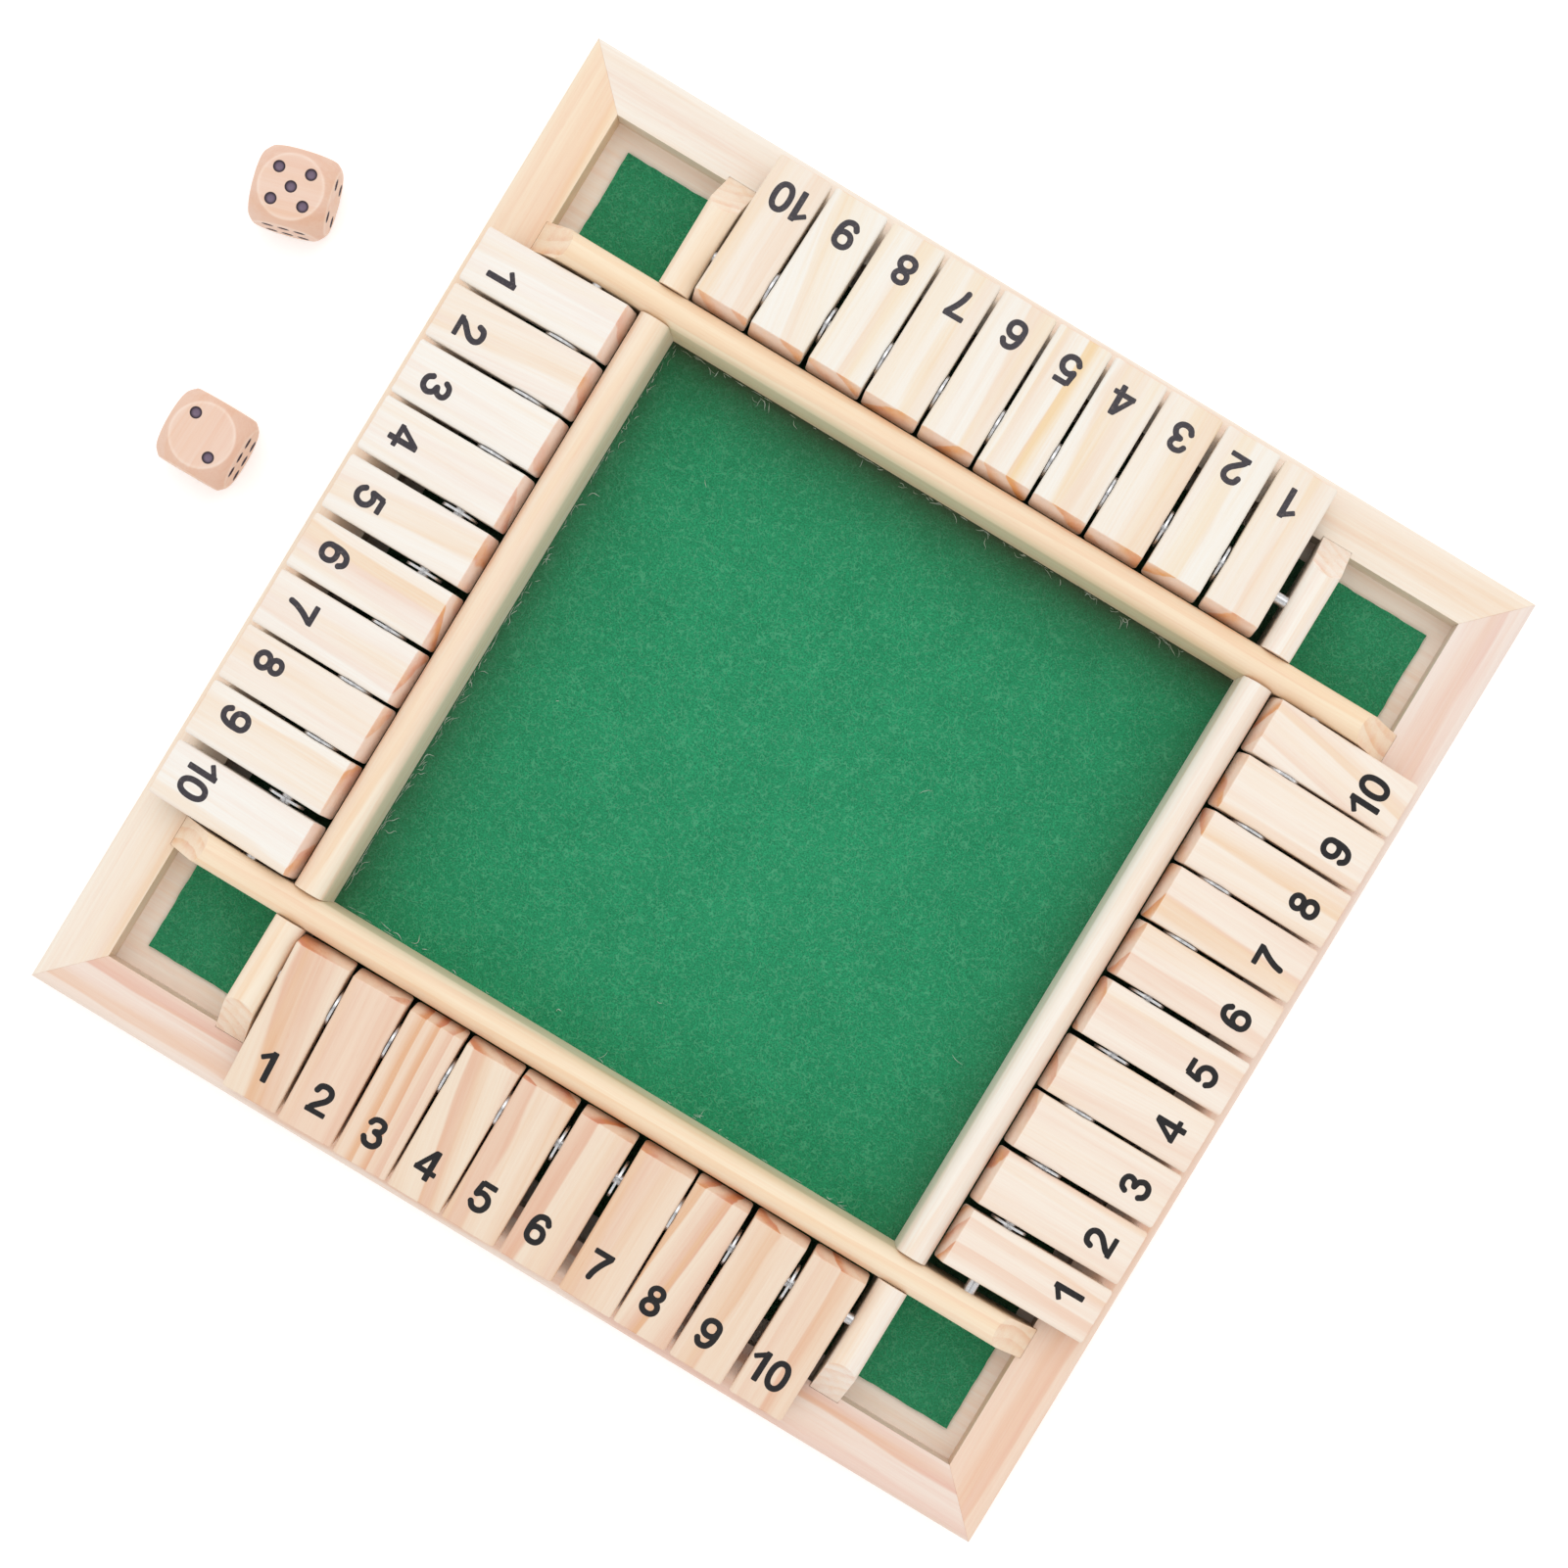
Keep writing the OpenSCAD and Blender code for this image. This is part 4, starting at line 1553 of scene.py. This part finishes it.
@dataclass
class Studio:
    """White paper, soft light from the north, and a camera that looks straight down."""

    camera_height: float = 850.0
    stand: tuple[float, float] = (20.0, -15.0)
    focal_pixels: float = 4270.0
    picture_pixels: float = 1601.0
    film_width: float = 36.0
    nearest: float = 0.01
    board_turn: float = 31.185
    centre_pixels: tuple[float, float] = (0.2, 7.7)
    sky: float = 0.98
    key_power: float = 6.0
    key_size: float = 1.5
    key_distance: float = 2.0
    key_height: float = 64.0
    key_bearing: float = 14.0
    key_gloss: float = 0.3
    mirrored_sky: float = 0.82
    mirrored_top: float = 0.05
    top_edge: tuple[float, float] = (0.96, 0.985)
    paper_half: float = 4000.0
    paper_depth: float = 0.05

    def axes(self) -> tuple[Vector, Vector]:
        """Finds how the picture is turned on the board.

        Returns:
            The picture's right and up, as directions of the board.
        """
        angle = math.radians(self.board_turn)
        return (Vector((math.cos(angle), math.sin(angle), 0.0)),
                Vector((-math.sin(angle), math.cos(angle), 0.0)))

    def camera(self) -> None:
        """Looks straight down, and shifts the picture as the photograph is framed.

        The board's centre falls centre_pixels right of and below the picture's middle, and the
        camera stands to one side of that centre.
        """
        right, up = self.axes()
        stand = Vector((*self.stand, 0.0))
        scale = self.focal_pixels / self.camera_height
        lens = bpy.data.cameras.new("camera")
        lens.sensor_width = self.film_width
        lens.lens = self.focal_pixels / self.picture_pixels * self.film_width
        lens.clip_start = self.nearest
        lens.shift_x = -(stand.dot(right) * scale + self.centre_pixels[0]) / self.picture_pixels
        lens.shift_y = -(stand.dot(up) * scale - self.centre_pixels[1]) / self.picture_pixels
        camera = add_object("camera", lens)
        turn = Matrix((right, up, Vector((0.0, 0.0, 1.0)))).transposed()
        spot = Vector((*self.stand, self.camera_height)) * MM
        camera.matrix_world = Matrix.Translation(spot) @ turn.to_4x4()
        bpy.context.scene.camera = camera

    def surroundings(self) -> None:
        """Fills the scene with light from a plain white sky.

        What mirrors see is white, with a dark round straight above.
        """
        world = bpy.data.worlds.new("white sky")
        bpy.context.scene.world = world
        world.use_nodes = True
        world.node_tree.nodes.clear()
        tree = Tree(world.node_tree)
        rays = tree.node("LightPath").outputs
        seen = tree.math("MAXIMUM", rays["Is Camera Ray"], rays["Is Transmission Ray"])
        strength = tree.math("MULTIPLY_ADD", seen, 1.0 - self.sky, self.sky)
        direction = tree.node("SeparateXYZ", {0: tree.node("TexCoord").outputs["Generated"]})
        rise = tree.math("ABSOLUTE", direction.outputs[2])
        mirrored = tree.ramp(rise, *self.top_edge, self.mirrored_sky, self.mirrored_top)
        strength = tree.node("Mix", {0: rays["Is Glossy Ray"], 2: strength, 3: mirrored},
                             data_type="FLOAT").outputs[0]
        sky = tree.node("Background", {"Color": WHITE, "Strength": strength})
        tree.node("OutputWorld", {"Surface": sky.outputs[0]})

    def key_light(self) -> None:
        """Lights the board softly from the north."""
        rise, bearing = math.radians(self.key_height), math.radians(self.key_bearing)
        spot = Vector((-math.sin(bearing) * math.cos(rise), math.cos(bearing) * math.cos(rise),
                       math.sin(rise))) * self.key_distance
        lamp = bpy.data.lights.new("key", "AREA")
        lamp.energy = self.key_power
        lamp.size = self.key_size
        lamp.specular_factor = self.key_gloss
        light = add_object("key", lamp)
        light.location = spot
        light.rotation_euler = spot.to_track_quat("Z", "Y").to_euler()

    def floor(self) -> None:
        """Lays a large sheet of white paper under the board."""
        corners = np.array([[-1, -1, 0], [1, -1, 0], [1, 1, 0], [-1, 1, 0]])
        points = corners * self.paper_half - [0, 0, self.paper_depth]
        paper = make_piece("floor", points, [[0, 1, 2, 3]])
        PAPER.put_on(paper)

    def build(self) -> None:
        """Sets the camera, the lights and the floor."""
        bpy.context.scene.view_settings.view_transform = "Standard"
        self.camera()
        self.surroundings()
        self.key_light()
        self.floor()


def main() -> None:
    """Dresses the whole game and sets the studio."""
    logging.basicConfig(level=logging.INFO, format="%(name)s: %(message)s")
    Studio().build()
    Base().build()
    Felt().build()
    Lint().build()
    steel_parts()
    for side in Side:
        for number in range(1, len(FLAP_WOODS[side]) + 1):
            Flap(side, number).build()
    Die("die_five_up", (0.0, 0.0, 15.7)).build()
    Die("die_two_up", (180.0, 90.0, 0.9)).build()
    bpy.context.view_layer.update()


if __name__ == "__main__":
    main()
